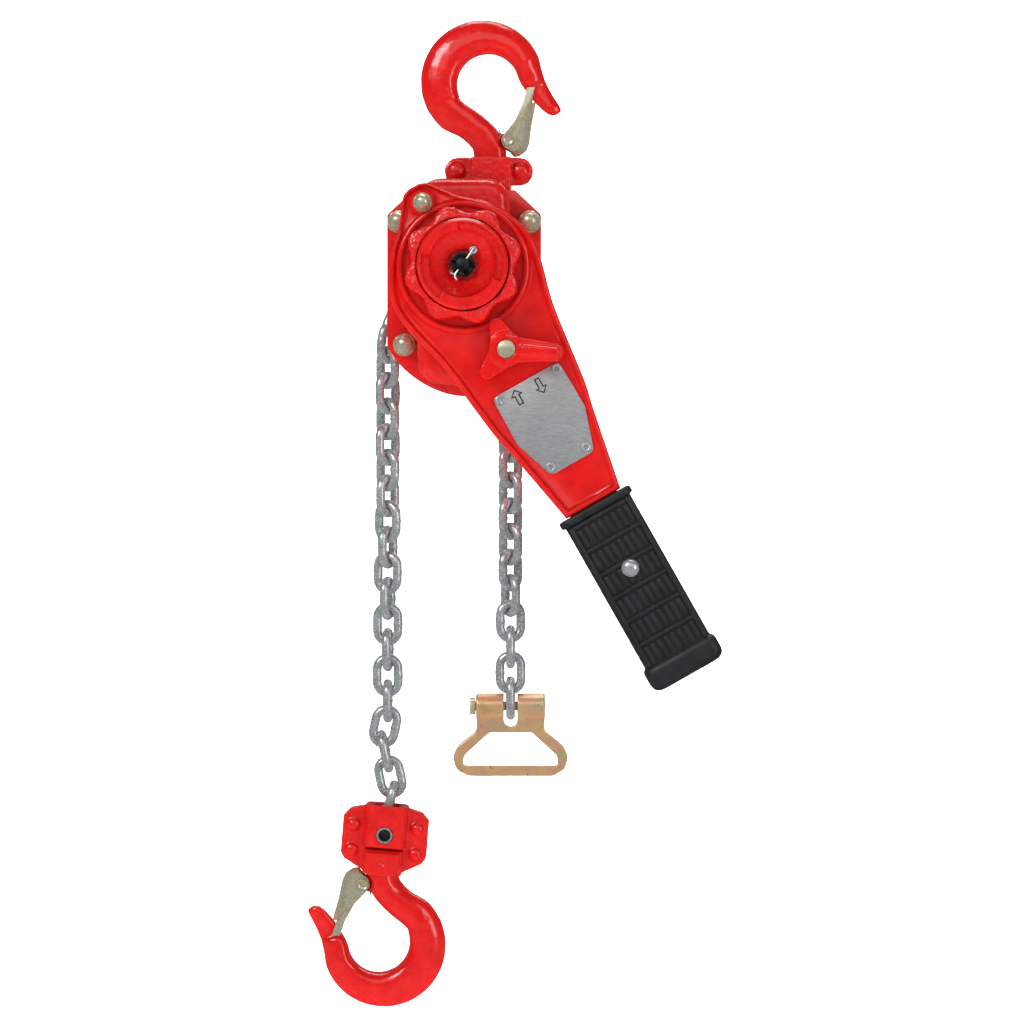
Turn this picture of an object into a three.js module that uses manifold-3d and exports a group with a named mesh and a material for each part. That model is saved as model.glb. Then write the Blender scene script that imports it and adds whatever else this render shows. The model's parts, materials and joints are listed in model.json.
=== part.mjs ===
// Ratchet lever chain hoist, 0.75 t class, in millimetres.
// Frame: the origin is the seat of the top hook, +X right, -Y towards the lever side, +Z up.
import * as THREE from 'three';
import { mergeVertices } from 'three/addons/utils/BufferGeometryUtils.js';
import Module from 'manifold-3d';

const wasm = await Module();
wasm.setup();

// ---------------------------------------------------------------- driving dimensions
const FIT = 0.3; // clearance between neighbouring solids

const SHAFT_X = -16;
const SHAFT_Z = -136;
const SHAFT_R = 5.5;
const THREAD_R = 4;
const SHAFT_FRONT = -78;
const SHAFT_BACK = 45.5;

const PLATE_HALF_GAP = 13;
const PLATE_THICKNESS = 3.5;
const PLATE_FRONT = -(PLATE_HALF_GAP + PLATE_THICKNESS);
const BEARING_R = 14;

const STAY_R = 3;
const NUT_R = 6.8;
const STAYS = {
  upper_left: [-40, 31],
  upper_right: [40, 31],
  lower_left: [-36.5, -44],
  lower_right: [40, -44],
};

const COVER_WALL = 2.2;
const BRAKE_FRONT = -38;
const BRAKE_R = 42;
const GEAR_BACK = 48;
const GEAR_CAN_R = 43.4;

const GEAR_OFFSET = 23.2;
const PINION_TIP_R = 5.6;
const WHEEL_TIP_R = 17.2;
const SECOND_PINION_TIP_R = 5.9;
const LOAD_GEAR_TIP_R = 16.9;

const LEVER_ANGLE = THREE.MathUtils.degToRad(29.6);
const LEVER_BACK = -38.6;
const LEVER_SPLIT = -49;
const LEVER_FLOOR = -57;
const LEVER_FRONT = -60;
const LEVER_SHIFT = -2; // the handle's middle line passes a little to one side of the shaft
const EAR_S = -45;
const TANG_END_S = 268;
const TANG_HALF = 16;
const GRIP_START_S = 161.5;
const GRIP_END_S = 278;
const GRIP_HALF = 22;
const SELECTOR_S = 56;
const CHANGE_GEAR_R = 34;
const CHANGE_PAWL_R = 22;
const GRIP_RIVET_S = 205;
const GRIP_FRONT = -61.5;
const GRIP_BACK = -37.5;

const WIRE = 5.6;
const PITCH = 15.8;
const LINK_WIDTH = 18.6;
const LINK_RINGS = 6;
const LINK_SIDES = 4;
const STRETCH = 0.3; // inside a length of chain each link is drawn this much further on, so that links meet
const SHEAVE_PITCH_R = 25.7;
const LOAD_SEGMENTS = [5, 5, 4, 4, 1];
const LOAD_NAMES = ['load_chain_1', 'load_chain_2', 'load_chain_3', 'load_chain_4', 'anchor_link'];
const TAIL_SEGMENTS = [4, 4, 4];
const TAIL_NAMES = ['tail_chain_1', 'tail_chain_2', 'tail_chain_3'];
const TAIL_X = 12.3;
const TAIL_END_Z = -396.6;

const YOKE_PIN = [0, -92];
const YOKE_PIN_R = 5;
const NECK_Z = -64;
const ANCHOR = [-64.9, -480];
const BOTTOM_TILT = THREE.MathUtils.degToRad(4.75);
const ANCHOR_R = 3.4;
const ANCHOR_SLACK = 0.35;
const BOTTOM_HOOK_DROP = -85.5;
const LATCH_PIVOT = [10.7, -53.8];

// ---------------------------------------------------------------- finishes
const FINISHES = {
  enamel: [0xdf1110, 0.25, 0.1],
  zinc: [0xaab2b2, 0.35, 0.9],
  yellowZinc: [0xbfb283, 0.35, 0.85],
  goldZinc: [0xc9a26c, 0.4, 0.8],
  steel: [0x8b8f92, 0.4, 0.9],
  blackOxide: [0x202224, 0.5, 0.7],
  aluminium: [0xa5a7a9, 0.4, 0.9],
  rubber: [0x1b1d20, 0.75, 0],
  lining: [0x6b5a48, 0.85, 0],
};

function finish(name) {
  const [color, roughness, metalness] = FINISHES[name];
  return new THREE.MeshStandardMaterial({ color, roughness, metalness });
}

// ---------------------------------------------------------------- solids
function signedVolume(positions, triangles) {
  const a = new THREE.Vector3();
  const b = new THREE.Vector3();
  const c = new THREE.Vector3();
  let volume = 0;
  for (let i = 0; i < triangles.length; i += 3) {
    a.fromArray(positions, triangles[i] * 3);
    b.fromArray(positions, triangles[i + 1] * 3);
    c.fromArray(positions, triangles[i + 2] * 3);
    volume += a.dot(b.cross(c)) / 6;
  }
  return volume;
}

// Shared vertices merged, triangles without area dropped and faces turned outwards.
function closed(geometry) {
  const bare = geometry.clone();
  bare.deleteAttribute('normal');
  bare.deleteAttribute('uv');
  const merged = mergeVertices(bare, 1e-4);
  const triangles = [];
  const index = merged.index.array;
  for (let i = 0; i < index.length; i += 3) {
    const [a, b, c] = [index[i], index[i + 1], index[i + 2]];
    if (a !== b && b !== c && c !== a) triangles.push(a, b, c);
  }
  if (signedVolume(merged.attributes.position.array, triangles) < 0) triangles.reverse();
  merged.setIndex(triangles);
  return merged;
}

function toManifold(geometry) {
  const merged = closed(geometry);
  return new wasm.Manifold(new wasm.Mesh({
    numProp: 3,
    vertProperties: new Float32Array(merged.attributes.position.array),
    triVerts: new Uint32Array(merged.index.array),
  }));
}

function fromManifold(solid) {
  const mesh = solid.getMesh();
  const geometry = new THREE.BufferGeometry();
  geometry.setAttribute('position', new THREE.BufferAttribute(new Float32Array(mesh.vertProperties), 3));
  geometry.setIndex(new THREE.BufferAttribute(new Uint32Array(mesh.triVerts), 1));
  return geometry;
}

function join(...geometries) {
  return fromManifold(geometries.map(toManifold).reduce((sum, next) => sum.add(next)));
}

function cut(base, ...tools) {
  return fromManifold(tools.map(toManifold).reduce((rest, tool) => rest.subtract(tool), toManifold(base)));
}

function block(x0, x1, y0, y1, z0, z1) {
  return new THREE.BoxGeometry(x1 - x0, y1 - y0, z1 - z0)
    .translate((x0 + x1) / 2, (y0 + y1) / 2, (z0 + z1) / 2);
}

// A round bar along Y between two depths.
function rod(radius, y0, y1, sides, x = 0, z = 0) {
  return new THREE.CylinderGeometry(radius, radius, y1 - y0, sides).translate(x, (y0 + y1) / 2, z);
}

// A shape drawn in X and Z, as thick as the span between two depths.
function plate(shape, y0, y1, curveSegments = 6) {
  const geometry = new THREE.ExtrudeGeometry(shape, { depth: y1 - y0, bevelEnabled: false, curveSegments });
  return geometry.rotateX(Math.PI / 2).translate(0, y1, 0);
}

// A profile of [radius, y] pairs turned about the Y axis.
function turned(profile, sides) {
  return new THREE.LatheGeometry(profile.map(([radius, y]) => new THREE.Vector2(radius, y)), sides);
}

function outline(points) {
  return new THREE.Shape(points.map(([x, z]) => new THREE.Vector2(x, z)));
}

// Moves every point of an outline inwards by a distance, along the normal of its neighbours.
function inset(points, distance) {
  return points.map(([x, z], i) => {
    const [xa, za] = points[(i + points.length - 1) % points.length];
    const [xb, zb] = points[(i + 1) % points.length];
    const length = Math.hypot(xb - xa, zb - za);
    return [x - (distance * (zb - za)) / length, z + (distance * (xb - xa)) / length];
  });
}

// A closed body swept through stations. A station is the inner and outer point of the section
// and its thickness along Y.
function loft(stations, sides) {
  const rows = stations.length - 1;
  const geometry = new THREE.CylinderGeometry(1, 1, rows, sides, rows);
  const position = geometry.attributes.position;
  for (let i = 0; i < position.count; i += 1) {
    const { inner, outer, thickness } = stations[Math.round(position.getY(i) + rows / 2)];
    const across = position.getX(i);
    const depth = position.getZ(i);
    const x = (inner[0] + outer[0]) / 2 + (across * (outer[0] - inner[0])) / 2;
    const z = (inner[1] + outer[1]) / 2 + (across * (outer[1] - inner[1])) / 2;
    position.setXYZ(i, x, (depth * thickness) / 2, z);
  }
  return geometry;
}

function part(name, geometry, finishName) {
  const mesh = new THREE.Mesh(closed(geometry), finish(finishName));
  mesh.name = name;
  return mesh;
}

function radians(degrees) {
  return THREE.MathUtils.degToRad(degrees);
}

// ---------------------------------------------------------------- hooks
// The bowl is two circles that aren't concentric, so the section is thickest opposite the tip.
const BOWL = { x: -1.5, z: -19, r: 19 };
const BACK = { x: -5, z: -17, r: 38 };

function onCircle({ x, z, r }, degrees) {
  return [x + r * Math.cos(radians(degrees)), z + r * Math.sin(radians(degrees))];
}

function hookStations() {
  const neck = [
    { inner: [10.2, NECK_Z], outer: [-10.2, NECK_Z], thickness: 19 },
    { inner: [8.5, -54.5], outer: [-11.8, -57.5], thickness: 20 },
    { inner: [3.2, -45.6], outer: [-18.5, -51.4], thickness: 19 },
    { inner: [-6, -37.2], outer: [-30, -45.5], thickness: 18 },
  ];
  const bowl = [];
  for (let degrees = 212; degrees >= 26; degrees -= 15.5) {
    bowl.push({ inner: onCircle(BOWL, degrees), outer: onCircle(BACK, degrees), thickness: 17 });
  }
  const tip = [
    { inner: [17.4, -15.6], outer: [31.4, -9], thickness: 14 },
    { inner: [21.2, -21.6], outer: [33.9, -16.4], thickness: 11 },
    { inner: [22.6, -23.2], outer: [34.8, -18.4], thickness: 7.6 },
    { inner: [28.2, -30.6], outer: [39, -26.6], thickness: 7.6 },
    { inner: [34.2, -35.8], outer: [42.4, -31.4], thickness: 7 },
    { inner: [38.2, -37.8], outer: [43.4, -34.4], thickness: 4.4 },
  ];
  return [...neck, ...bowl, ...tip];
}

// Neck, round shank and the head that the yoke captures, with a lug for the latch pin.
function hookGeometry() {
  const shank = turned([[0, -74.5], [9.5, -74.5], [9.5, -70.4], [7, -70.4], [7, NECK_Z + 1], [0, NECK_Z + 1]], 16)
    .rotateX(Math.PI / 2);
  const [x, z] = LATCH_PIVOT;
  const lug = join(rod(4.6, -4, 4, 12, x, z), block(1, x, -4, 4, z - 4.6, z + 4));
  const flats = [rod(6.4, 4.1, 14, 14, x, z), rod(6.4, -14, -4.1, 14, x, z)];
  return cut(join(loft(hookStations(), 8), shank, lug), rod(1.9, -9, 9, 8, x, z), ...flats);
}

const LATCH_OUTLINE = [
  [6.4, -53.4], [8, -57.6], [12.4, -59.4], [17.6, -63.4], [21, -60.4], [21.6, -55],
  [23.4, -45], [26.6, -34], [27.9, -25.4], [27.2, -21.2], [22.4, -22.2], [20.2, -30], [15, -41.4], [8.4, -49.4],
];
const LATCH_POCKET = [
  [4, -66], [13.4, -66], [14.2, -59.2], [17.4, -61.6], [19.9, -59.4], [20.4, -55],
  [22.2, -45], [24.9, -36], [36, -33], [36, -12], [16, -12], [4, -44],
];

// Two cheeks straddle the lug and the flattened tip, with a web along their outer edge.
function latchGeometry() {
  const [x, z] = LATCH_PIVOT;
  const blank = plate(outline(LATCH_OUTLINE), -5.6, 5.6);
  const pocket = plate(outline(LATCH_POCKET), -4.4, 4.4);
  return cut(blank, pocket, rod(1.9, -9, 9, 8, x, z));
}

function latchPinGeometry() {
  const head = 3.4;
  const profile = [
    [0, -7.4], [head, -7.2], [head, -5.9], [1.6, -5.9],
    [1.6, 5.9], [head, 5.9], [head, 7.2], [0, 7.4],
  ];
  return turned(profile, 10).translate(LATCH_PIVOT[0], 0, LATCH_PIVOT[1]);
}

function hookSet(prefix) {
  const hook = part(`${prefix}_hook`, hookGeometry(), 'enamel');
  const latch = part(`${prefix}_latch`, latchGeometry(), 'yellowZinc');
  const pin = part(`${prefix}_latch_pin`, latchPinGeometry(), 'yellowZinc');
  return [hook, latch, pin];
}

// ---------------------------------------------------------------- top yoke
const SHANK_HOLE_R = 7.4;
const SHANK_HEAD_R = 9.9;

function shankCavity() {
  const profile = [
    [0, -74.8], [SHANK_HEAD_R, -74.8], [SHANK_HEAD_R, -70.1], [SHANK_HOLE_R, -70.1],
    [SHANK_HOLE_R, NECK_Z + 2], [0, NECK_Z + 2],
  ];
  return turned(profile, 14).rotateX(Math.PI / 2);
}

function topYokeHalf(side) {
  const [pinX, pinZ] = YOKE_PIN;
  const span = (near, far) => (side < 0 ? [-far, -near] : [near, far]);
  const [y0, y1] = span(0.15, 12);
  const [e0, e1] = span(0.15, 5);
  const [r0, r1] = span(0.15, 6.6);
  const ears = new THREE.Shape();
  ears.moveTo(17.5, -64.2);
  ears.absarc(18, -72.4, 8.2, Math.PI / 2, -Math.PI / 2, true);
  ears.lineTo(-20, -80.6);
  ears.absarc(-20, -72.4, 8.2, -Math.PI / 2, -Math.PI * 1.5, true);
  const body = join(
    block(-12, 12.5, y0, y1, -98, NECK_Z - 0.4),
    plate(ears, e0, e1, 4),
    rod(4.6, r0, r1, 8, 18.5, -72.4),
    rod(4.6, r0, r1, 8, -21, -72.4),
  );
  return cut(body, shankCavity(), rod(YOKE_PIN_R + FIT, -20, 20, 16, pinX, pinZ));
}

function topYoke() {
  return [
    part('top_yoke_front', topYokeHalf(-1), 'enamel'),
    part('top_yoke_rear', topYokeHalf(1), 'enamel'),
  ];
}

// ---------------------------------------------------------------- body of the hoist, about the shaft axis
const YOKE_PIN_X = YOKE_PIN[0] - SHAFT_X;
const YOKE_PIN_Z = YOKE_PIN[1] - SHAFT_Z;
const STRIPPER_Z = -47;

function sidePlateShape() {
  const shape = new THREE.Shape();
  shape.moveTo(-31, 50.6);
  shape.lineTo(31, 50.6);
  shape.lineTo(47, 35.6);
  shape.lineTo(47, -44);
  shape.bezierCurveTo(43, -57, 20, -74, 0, -74);
  shape.bezierCurveTo(-20, -74, -43, -57, -47, -44);
  shape.lineTo(-47, 35.6);
  return shape;
}

function stayHoles() {
  return Object.values(STAYS).map(([x, z]) => rod(STAY_R + FIT, -60, 60, 8, x, z));
}

function sidePlate(name, y0, y1) {
  const base = plate(sidePlateShape(), y0, y1, 4);
  const holes = [
    rod(BEARING_R, -60, 60, 16),
    rod(YOKE_PIN_R + FIT, -60, 60, 12, YOKE_PIN_X, YOKE_PIN_Z),
    rod(3.3, -60, 60, 10, 0, STRIPPER_Z),
    ...stayHoles(),
  ];
  if (y0 > 0) {
    holes.push(rod(3.3, -60, 60, 10, 0, GEAR_OFFSET), rod(3.3, -60, 60, 10, 0, -GEAR_OFFSET));
  }
  return part(name, cut(base, ...holes), 'enamel');
}

function yokePin() {
  return part('yoke_pin', rod(YOKE_PIN_R, PLATE_FRONT + 0.2, -PLATE_FRONT - 0.2, 16, YOKE_PIN_X, YOKE_PIN_Z), 'steel');
}

// A stay with its rear head, and the domed nut on its front end.
function stay(label, [x, z]) {
  const back = -PLATE_FRONT + COVER_WALL + 2 * FIT;
  const bolt = turned([
    [0, PLATE_FRONT - 6.4], [STAY_R, PLATE_FRONT - 6.4], [STAY_R, back],
    [6, back], [6, back + 4.5], [0, back + 4.5],
  ], 10).translate(x, 0, z);
  const nutBack = PLATE_FRONT - FIT;
  const nut = turned([
    [0, nutBack - 6.6], [STAY_R + FIT, nutBack - 6.6], [STAY_R + FIT, nutBack], [NUT_R, nutBack],
    [NUT_R, nutBack - 5], [5.6, nutBack - 8.2], [3, nutBack - 10.2], [0, nutBack - 10.6],
  ], 8).translate(x, 0, z);
  return [part(`stay_bolt_${label}`, bolt, 'yellowZinc'), part(`stay_nut_${label}`, nut, 'yellowZinc')];
}

function chainStripper() {
  const shape = outline([[-9, -58], [9, -58], [11, -40], [5, -24], [0, -20], [-5, -24], [-11, -40]]);
  return part('chain_stripper', join(plate(shape, -7, 7), rod(3, -16, 16, 10, 0, STRIPPER_Z)), 'steel');
}

// The pressed cover is a round can joined to an upright box with rounded corners.
function coverShape(halfWidth, top, bottom, corner) {
  const shape = new THREE.Shape();
  shape.moveTo(-halfWidth + corner, top);
  shape.lineTo(halfWidth - corner, top);
  shape.absarc(halfWidth - corner, top - corner, corner, Math.PI / 2, 0, true);
  shape.lineTo(halfWidth, bottom + corner);
  shape.absarc(halfWidth - corner, bottom + corner, corner, 0, -Math.PI / 2, true);
  shape.lineTo(-halfWidth + corner, bottom);
  shape.absarc(-halfWidth + corner, bottom + corner, corner, -Math.PI / 2, -Math.PI, true);
  shape.lineTo(-halfWidth, top - corner);
  shape.absarc(-halfWidth + corner, top - corner, corner, Math.PI, Math.PI / 2, true);
  return shape;
}

function brakeCover() {
  const back = PLATE_FRONT - FIT;
  const shell = join(rod(BRAKE_R, BRAKE_FRONT, back, 28), plate(coverShape(28, 56, -70, 14), BRAKE_FRONT, back, 4));
  const inside = join(
    rod(BRAKE_R - COVER_WALL, BRAKE_FRONT + COVER_WALL, 0, 28),
    plate(coverShape(28 - COVER_WALL, 56 - COVER_WALL, -70 + COVER_WALL, 12), BRAKE_FRONT + COVER_WALL, 0, 4),
  );
  const nutRelief = Object.values(STAYS).map(([x, z]) => rod(NUT_R + 1, -60, 0, 8, x, z));
  return part('brake_cover', cut(shell, inside, rod(16, -60, 0, 24), ...nutRelief), 'enamel');
}

function gearCover() {
  const front = -PLATE_FRONT + FIT;
  const flange = plate(sidePlateShape(), front, front + COVER_WALL, 4);
  const shell = join(flange, rod(GEAR_CAN_R, front, GEAR_BACK, 28));
  const inside = rod(GEAR_CAN_R - COVER_WALL, -1, GEAR_BACK - COVER_WALL, 28);
  return part('gear_cover', cut(shell, inside, ...stayHoles()), 'enamel');
}

// ---------------------------------------------------------------- drive train
function gearShape(rootRadius, tipRadius, teeth) {
  const points = [];
  for (let i = 0; i < teeth; i += 1) {
    const step = (Math.PI * 2) / teeth;
    for (const [fraction, radius] of [[0.1, rootRadius], [0.38, tipRadius], [0.62, tipRadius], [0.9, rootRadius]]) {
      const angle = (i + fraction) * step;
      points.push([radius * Math.cos(angle), radius * Math.sin(angle)]);
    }
  }
  return outline(points);
}

function pinionShaft() {
  const core = turned([
    [0, SHAFT_FRONT], [THREAD_R, SHAFT_FRONT], [THREAD_R, -61], [SHAFT_R, -61],
    [SHAFT_R, 30], [3.2, 30], [3.2, SHAFT_BACK], [0, SHAFT_BACK],
  ], 16);
  const pinion = plate(gearShape(4, PINION_TIP_R, 7), 30, 41);
  const hub = rod(26, -20.6, -17.4, 18);
  const pinHole = new THREE.CylinderGeometry(1.3, 1.3, 30, 8).rotateZ(radians(90)).rotateY(radians(-53))
    .translate(0, -73.4, 0);
  return part('pinion_shaft', cut(join(core, pinion, hub), pinHole), 'steel');
}

// A plain spool with five notched pockets in each flange, on a hub that reaches the load gear.
function loadSheave() {
  const hub = 13.5;
  const bore = SHAFT_R + FIT;
  const spool = turned([
    [bore, -15], [hub, -15], [hub, -12.4], [29, -12.4], [29, -9.4], [17.4, -7.4],
    [17.4, 7.4], [29, 9.4], [29, 12.4], [hub, 12.4], [hub, 17.6], [9, 17.6], [9, 25.6], [bore, 25.6], [bore, -15],
  ], 18);
  const notches = [];
  for (let i = 0; i < 5; i += 1) {
    notches.push(rod(5, -20, 20, 6, 31, 0).rotateY(radians(72 * i + 18)));
  }
  return part('load_sheave', cut(spool, ...notches), 'steel');
}

function loadGear() {
  const blank = plate(gearShape(15, LOAD_GEAR_TIP_R, 18), 18.2, 25.6);
  return part('load_gear', cut(blank, rod(9 + FIT, 0, 40, 20)), 'steel');
}

function discGear(label, z) {
  const wheel = plate(gearShape(15.2, WHEEL_TIP_R, 18), 31, 37);
  const second = plate(gearShape(4.2, SECOND_PINION_TIP_R, 7), 18.4, 31);
  const gear = join(wheel, second, rod(3, 13.4, 45.4, 10));
  const mesh = part(`disc_gear_${label}`, gear, 'steel');
  mesh.position.set(0, 0, z);
  return mesh;
}

const RATCHET_TEETH = 16;
const RATCHET_TIP_R = 29;
const RATCHET_ROOT_R = 25;
const PAWL_PIVOT_R = 34;

function ratchetDisc() {
  const points = [];
  for (let i = 0; i < RATCHET_TEETH; i += 1) {
    const step = (Math.PI * 2) / RATCHET_TEETH;
    for (const [fraction, radius] of [[0, RATCHET_ROOT_R], [0.02, RATCHET_TIP_R], [0.3, RATCHET_TIP_R - 0.4]]) {
      points.push([radius * Math.cos((i + fraction) * step), radius * Math.sin((i + fraction) * step)]);
    }
  }
  return part('ratchet_disc', cut(plate(outline(points), -28, -24.2), rod(10, -60, 0, 20)), 'steel');
}

function frictionDisc(label, y0, y1) {
  const ring = [[10.4, y0], [24, y0], [24, y1], [10.4, y1], [10.4, y0]];
  return part(`friction_disc_${label}`, turned(ring, 18), 'lining');
}

// A short finger on its own pin, whose tip rests just clear of a ratchet tooth.
function pawl(label, degrees) {
  const finger = outline([[-4, 4], [-4.6, -1.4], [-2, -3.8], [3, -4.2], [14, -6.2], [13.4, -2.2], [3, 4.6]]);
  const geometry = join(plate(finger, -27.6, -24.4), rod(2.4, -27.6, PLATE_FRONT - FIT, 10));
  const mesh = part(`pawl_${label}`, geometry, 'steel');
  mesh.rotation.y = radians(90 - degrees);
  mesh.position.set(PAWL_PIVOT_R * Math.cos(radians(degrees)), 0, PAWL_PIVOT_R * Math.sin(radians(degrees)));
  return mesh;
}

function changeGear() {
  const flange = rod(24, -34.6, -31.4, 20);
  const hub = rod(15, -42, -33, 20);
  const gear = plate(gearShape(CHANGE_GEAR_R - 3, CHANGE_GEAR_R, 20), -48.4, -41);
  return part('change_gear', cut(join(flange, hub, gear), rod(SHAFT_R + FIT, -60, 0, 16)), 'steel');
}

// ---------------------------------------------------------------- lever
// Half widths of the lever at distances from the shaft, measured down the lever.
const LEVER_SIDE = [
  [-56, 3.6], [-53.6, 8.6], [-47, 13.6], [-38, 20.7], [-30, 29.4], [-18, 38.8], [-7, 44.2], [4, 46.4],
  [20, 44.4], [38, 39.6], [54, 36.6], [94, 31.6], [113, 27.6], [161, 18.4],
];

function leverOutline() {
  const right = LEVER_SIDE.map(([s, half]) => [LEVER_SHIFT + half, -s]);
  const left = LEVER_SIDE.map(([s, half]) => [LEVER_SHIFT - half, -s]).reverse();
  return [...right, ...left].reverse();
}

function tang(y0, y1) {
  return block(LEVER_SHIFT - TANG_HALF, LEVER_SHIFT + TANG_HALF, y0, y1, -TANG_END_S, -150);
}

// Room inside the two halves for the change gear and its pawl.
function leverPocket(y0, y1) {
  return join(rod(CHANGE_GEAR_R + 1.4, y0, y1, 24), rod(CHANGE_PAWL_R + 1.2, y0, y1, 16, LEVER_SHIFT, -SELECTOR_S));
}

function leverBackHalf() {
  const base = join(plate(outline(leverOutline()), LEVER_SPLIT + 0.2, LEVER_BACK), tang(LEVER_SPLIT + 0.2, -45));
  const bores = [
    rod(15.6, -60, 0, 24),
    rod(2.3, -60, 0, 10, LEVER_SHIFT, -EAR_S),
    rod(3.1, -60, 0, 10, LEVER_SHIFT, -SELECTOR_S),
    rod(2.8, -60, 0, 10, LEVER_SHIFT, -GRIP_RIVET_S),
  ];
  return part('lever_back', cut(base, leverPocket(-60, -40.6), ...bores), 'enamel');
}

function leverFrontHalf() {
  const points = leverOutline();
  const rim = cut(
    plate(outline(points), LEVER_FRONT, LEVER_FLOOR + 1),
    plate(outline(inset(points, 3.2)), LEVER_FRONT - 2, 0),
  );
  const boss = cut(rod(40, LEVER_FRONT, LEVER_FLOOR + 1, 28), rod(36.5, -70, 0, 28));
  const floor = plate(outline(points), LEVER_FLOOR, LEVER_SPLIT - 0.1);
  const base = join(floor, rim, boss, rod(8, -58.6, -52, 16, LEVER_SHIFT, -EAR_S), tang(-54, LEVER_SPLIT - 0.1));
  const bores = [
    rod(15.6, -70, 0, 24),
    rod(2.3, -70, 0, 10, LEVER_SHIFT, -EAR_S),
    rod(3.3, -70, 0, 10, LEVER_SHIFT, -SELECTOR_S),
    rod(2.8, -70, 0, 10, LEVER_SHIFT, -GRIP_RIVET_S),
    rod(6.2, -70, -59.1, 12, LEVER_SHIFT, -EAR_S),
  ];
  return part('lever_front', cut(base, leverPocket(-54.4, -40), ...bores), 'enamel');
}

// A domed head in front of the ear, on a bolt through both halves.
function earBolt() {
  const seat = -59.3;
  const profile = [
    [0, -38.2], [2, -38.2], [2, seat], [5.5, seat],
    [5.5, seat - 4.4], [5.1, seat - 6.6], [3, seat - 8.4], [0, seat - 9],
  ];
  return part('ear_bolt', turned(profile, 12).translate(LEVER_SHIFT, 0, -EAR_S), 'yellowZinc');
}

// A bar along the lever with a rounded rectangle as its section.
function leverBar(halfWidth, y0, y1, s0, s1, corner) {
  const shape = coverShape(halfWidth, y1, y0, corner);
  return new THREE.ExtrudeGeometry(shape, { depth: s1 - s0, bevelEnabled: false, curveSegments: 2 })
    .translate(0, 0, -s1);
}

function grip() {
  const middle = leverBar(GRIP_HALF, GRIP_FRONT, GRIP_BACK, GRIP_START_S, GRIP_END_S - 8, 5);
  const collar = leverBar(24, GRIP_FRONT - 1, GRIP_BACK + 1, GRIP_START_S, GRIP_START_S + 4.5, 6);
  const bulb = leverBar(24, GRIP_FRONT - 1, GRIP_BACK + 1, GRIP_END_S - 12.5, GRIP_END_S - 3, 6);
  const cap = leverBar(21, GRIP_FRONT + 2, GRIP_BACK - 2, GRIP_END_S - 4, GRIP_END_S, 5);
  const room = block(-TANG_HALF - FIT, TANG_HALF + FIT, -54.4, -44.6, -TANG_END_S - FIT, -100);
  const neck = block(-19.2, 19.2, -61, -38, -GRIP_START_S - 1.4, -GRIP_START_S + 5);
  const mesh = part('grip', cut(join(middle, collar, bulb, cap), room, neck,
    rod(2.8, -80, 0, 10, 0, -GRIP_RIVET_S)), 'rubber');
  mesh.position.x = LEVER_SHIFT;
  return mesh;
}

function gripRivet() {
  const profile = [
    [0, GRIP_FRONT - 3.2], [3.4, GRIP_FRONT - 2.6], [5.3, GRIP_FRONT - 0.3], [2.5, GRIP_FRONT - 0.3],
    [2.5, GRIP_BACK + 0.3], [5.3, GRIP_BACK + 0.3], [3.4, GRIP_BACK + 2.6], [0, GRIP_BACK + 3.2],
  ];
  return part('grip_rivet', turned(profile, 12).translate(LEVER_SHIFT, 0, -GRIP_RIVET_S), 'zinc');
}

function ratingPlate() {
  const shape = outline([
    [-23.6, -77], [-24.2, -108], [-15.6, -134], [13.6, -134], [22.2, -108], [21.6, -77],
  ]);
  return part('rating_plate', plate(shape, LEVER_FLOOR - 1.2, LEVER_FLOOR - FIT), 'aluminium');
}

// One tapered arm of the selector, pointing at a clockwise angle from the top of the lever.
function selectorArm(degrees, length, rootHalf, tipHalf, y0, y1) {
  const shape = new THREE.Shape();
  shape.moveTo(-rootHalf, 0);
  shape.lineTo(rootHalf, 0);
  shape.lineTo(tipHalf, length - tipHalf);
  shape.absarc(0, length - tipHalf, tipHalf, 0, Math.PI);
  return plate(shape, y0, y1, 3).rotateY(radians(degrees));
}

const SELECTOR_ARMS = [
  { degrees: 7.6, length: 20, rootHalf: 10, tipHalf: 4.6, front: -68 },
  { degrees: 249.6, length: 22, rootHalf: 10, tipHalf: 4.6, front: -68 },
  { degrees: 123.6, length: 34, rootHalf: 8, tipHalf: 5.2, front: -72 },
];

function selector() {
  const arms = SELECTOR_ARMS.map((arm) => (
    selectorArm(arm.degrees, arm.length, arm.rootHalf, arm.tipHalf, arm.front, -62)
  ));
  const body = cut(join(...arms, rod(10.5, -69, -62, 16)), rod(2.9, -80, 0, 12), rod(5.8, -80, -69, 12));
  const mesh = part('selector', body, 'enamel');
  mesh.position.set(LEVER_SHIFT, 0, -SELECTOR_S);
  return mesh;
}

// The pin's head shows in front of the selector and its tail carries the change pawl.
function selectorPin() {
  const profile = [
    [0, -71], [5.4, -71], [5.4, -69.3], [2.6, -69.3], [2.6, -39.8], [0, -39.8],
  ];
  return part('selector_pin', turned(profile, 12).translate(LEVER_SHIFT, 0, -SELECTOR_S), 'yellowZinc');
}

function changePawl() {
  const shape = outline([
    [-15, -2], [-7, -9], [7, -9], [15, -2], [12.6, 9], [9, CHANGE_PAWL_R - 3], [3, 11], [-3, 11],
    [-9, CHANGE_PAWL_R - 3], [-12.6, 9],
  ]);
  const mesh = part('change_pawl', cut(plate(shape, -48.4, -41.2), rod(2.9, -60, 0, 12)), 'steel');
  mesh.position.set(LEVER_SHIFT, 0, -SELECTOR_S);
  return mesh;
}

// ---------------------------------------------------------------- hand wheel
const LOBES = 8;
const LOBE_PHASE = radians(-17 - 90);

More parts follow.
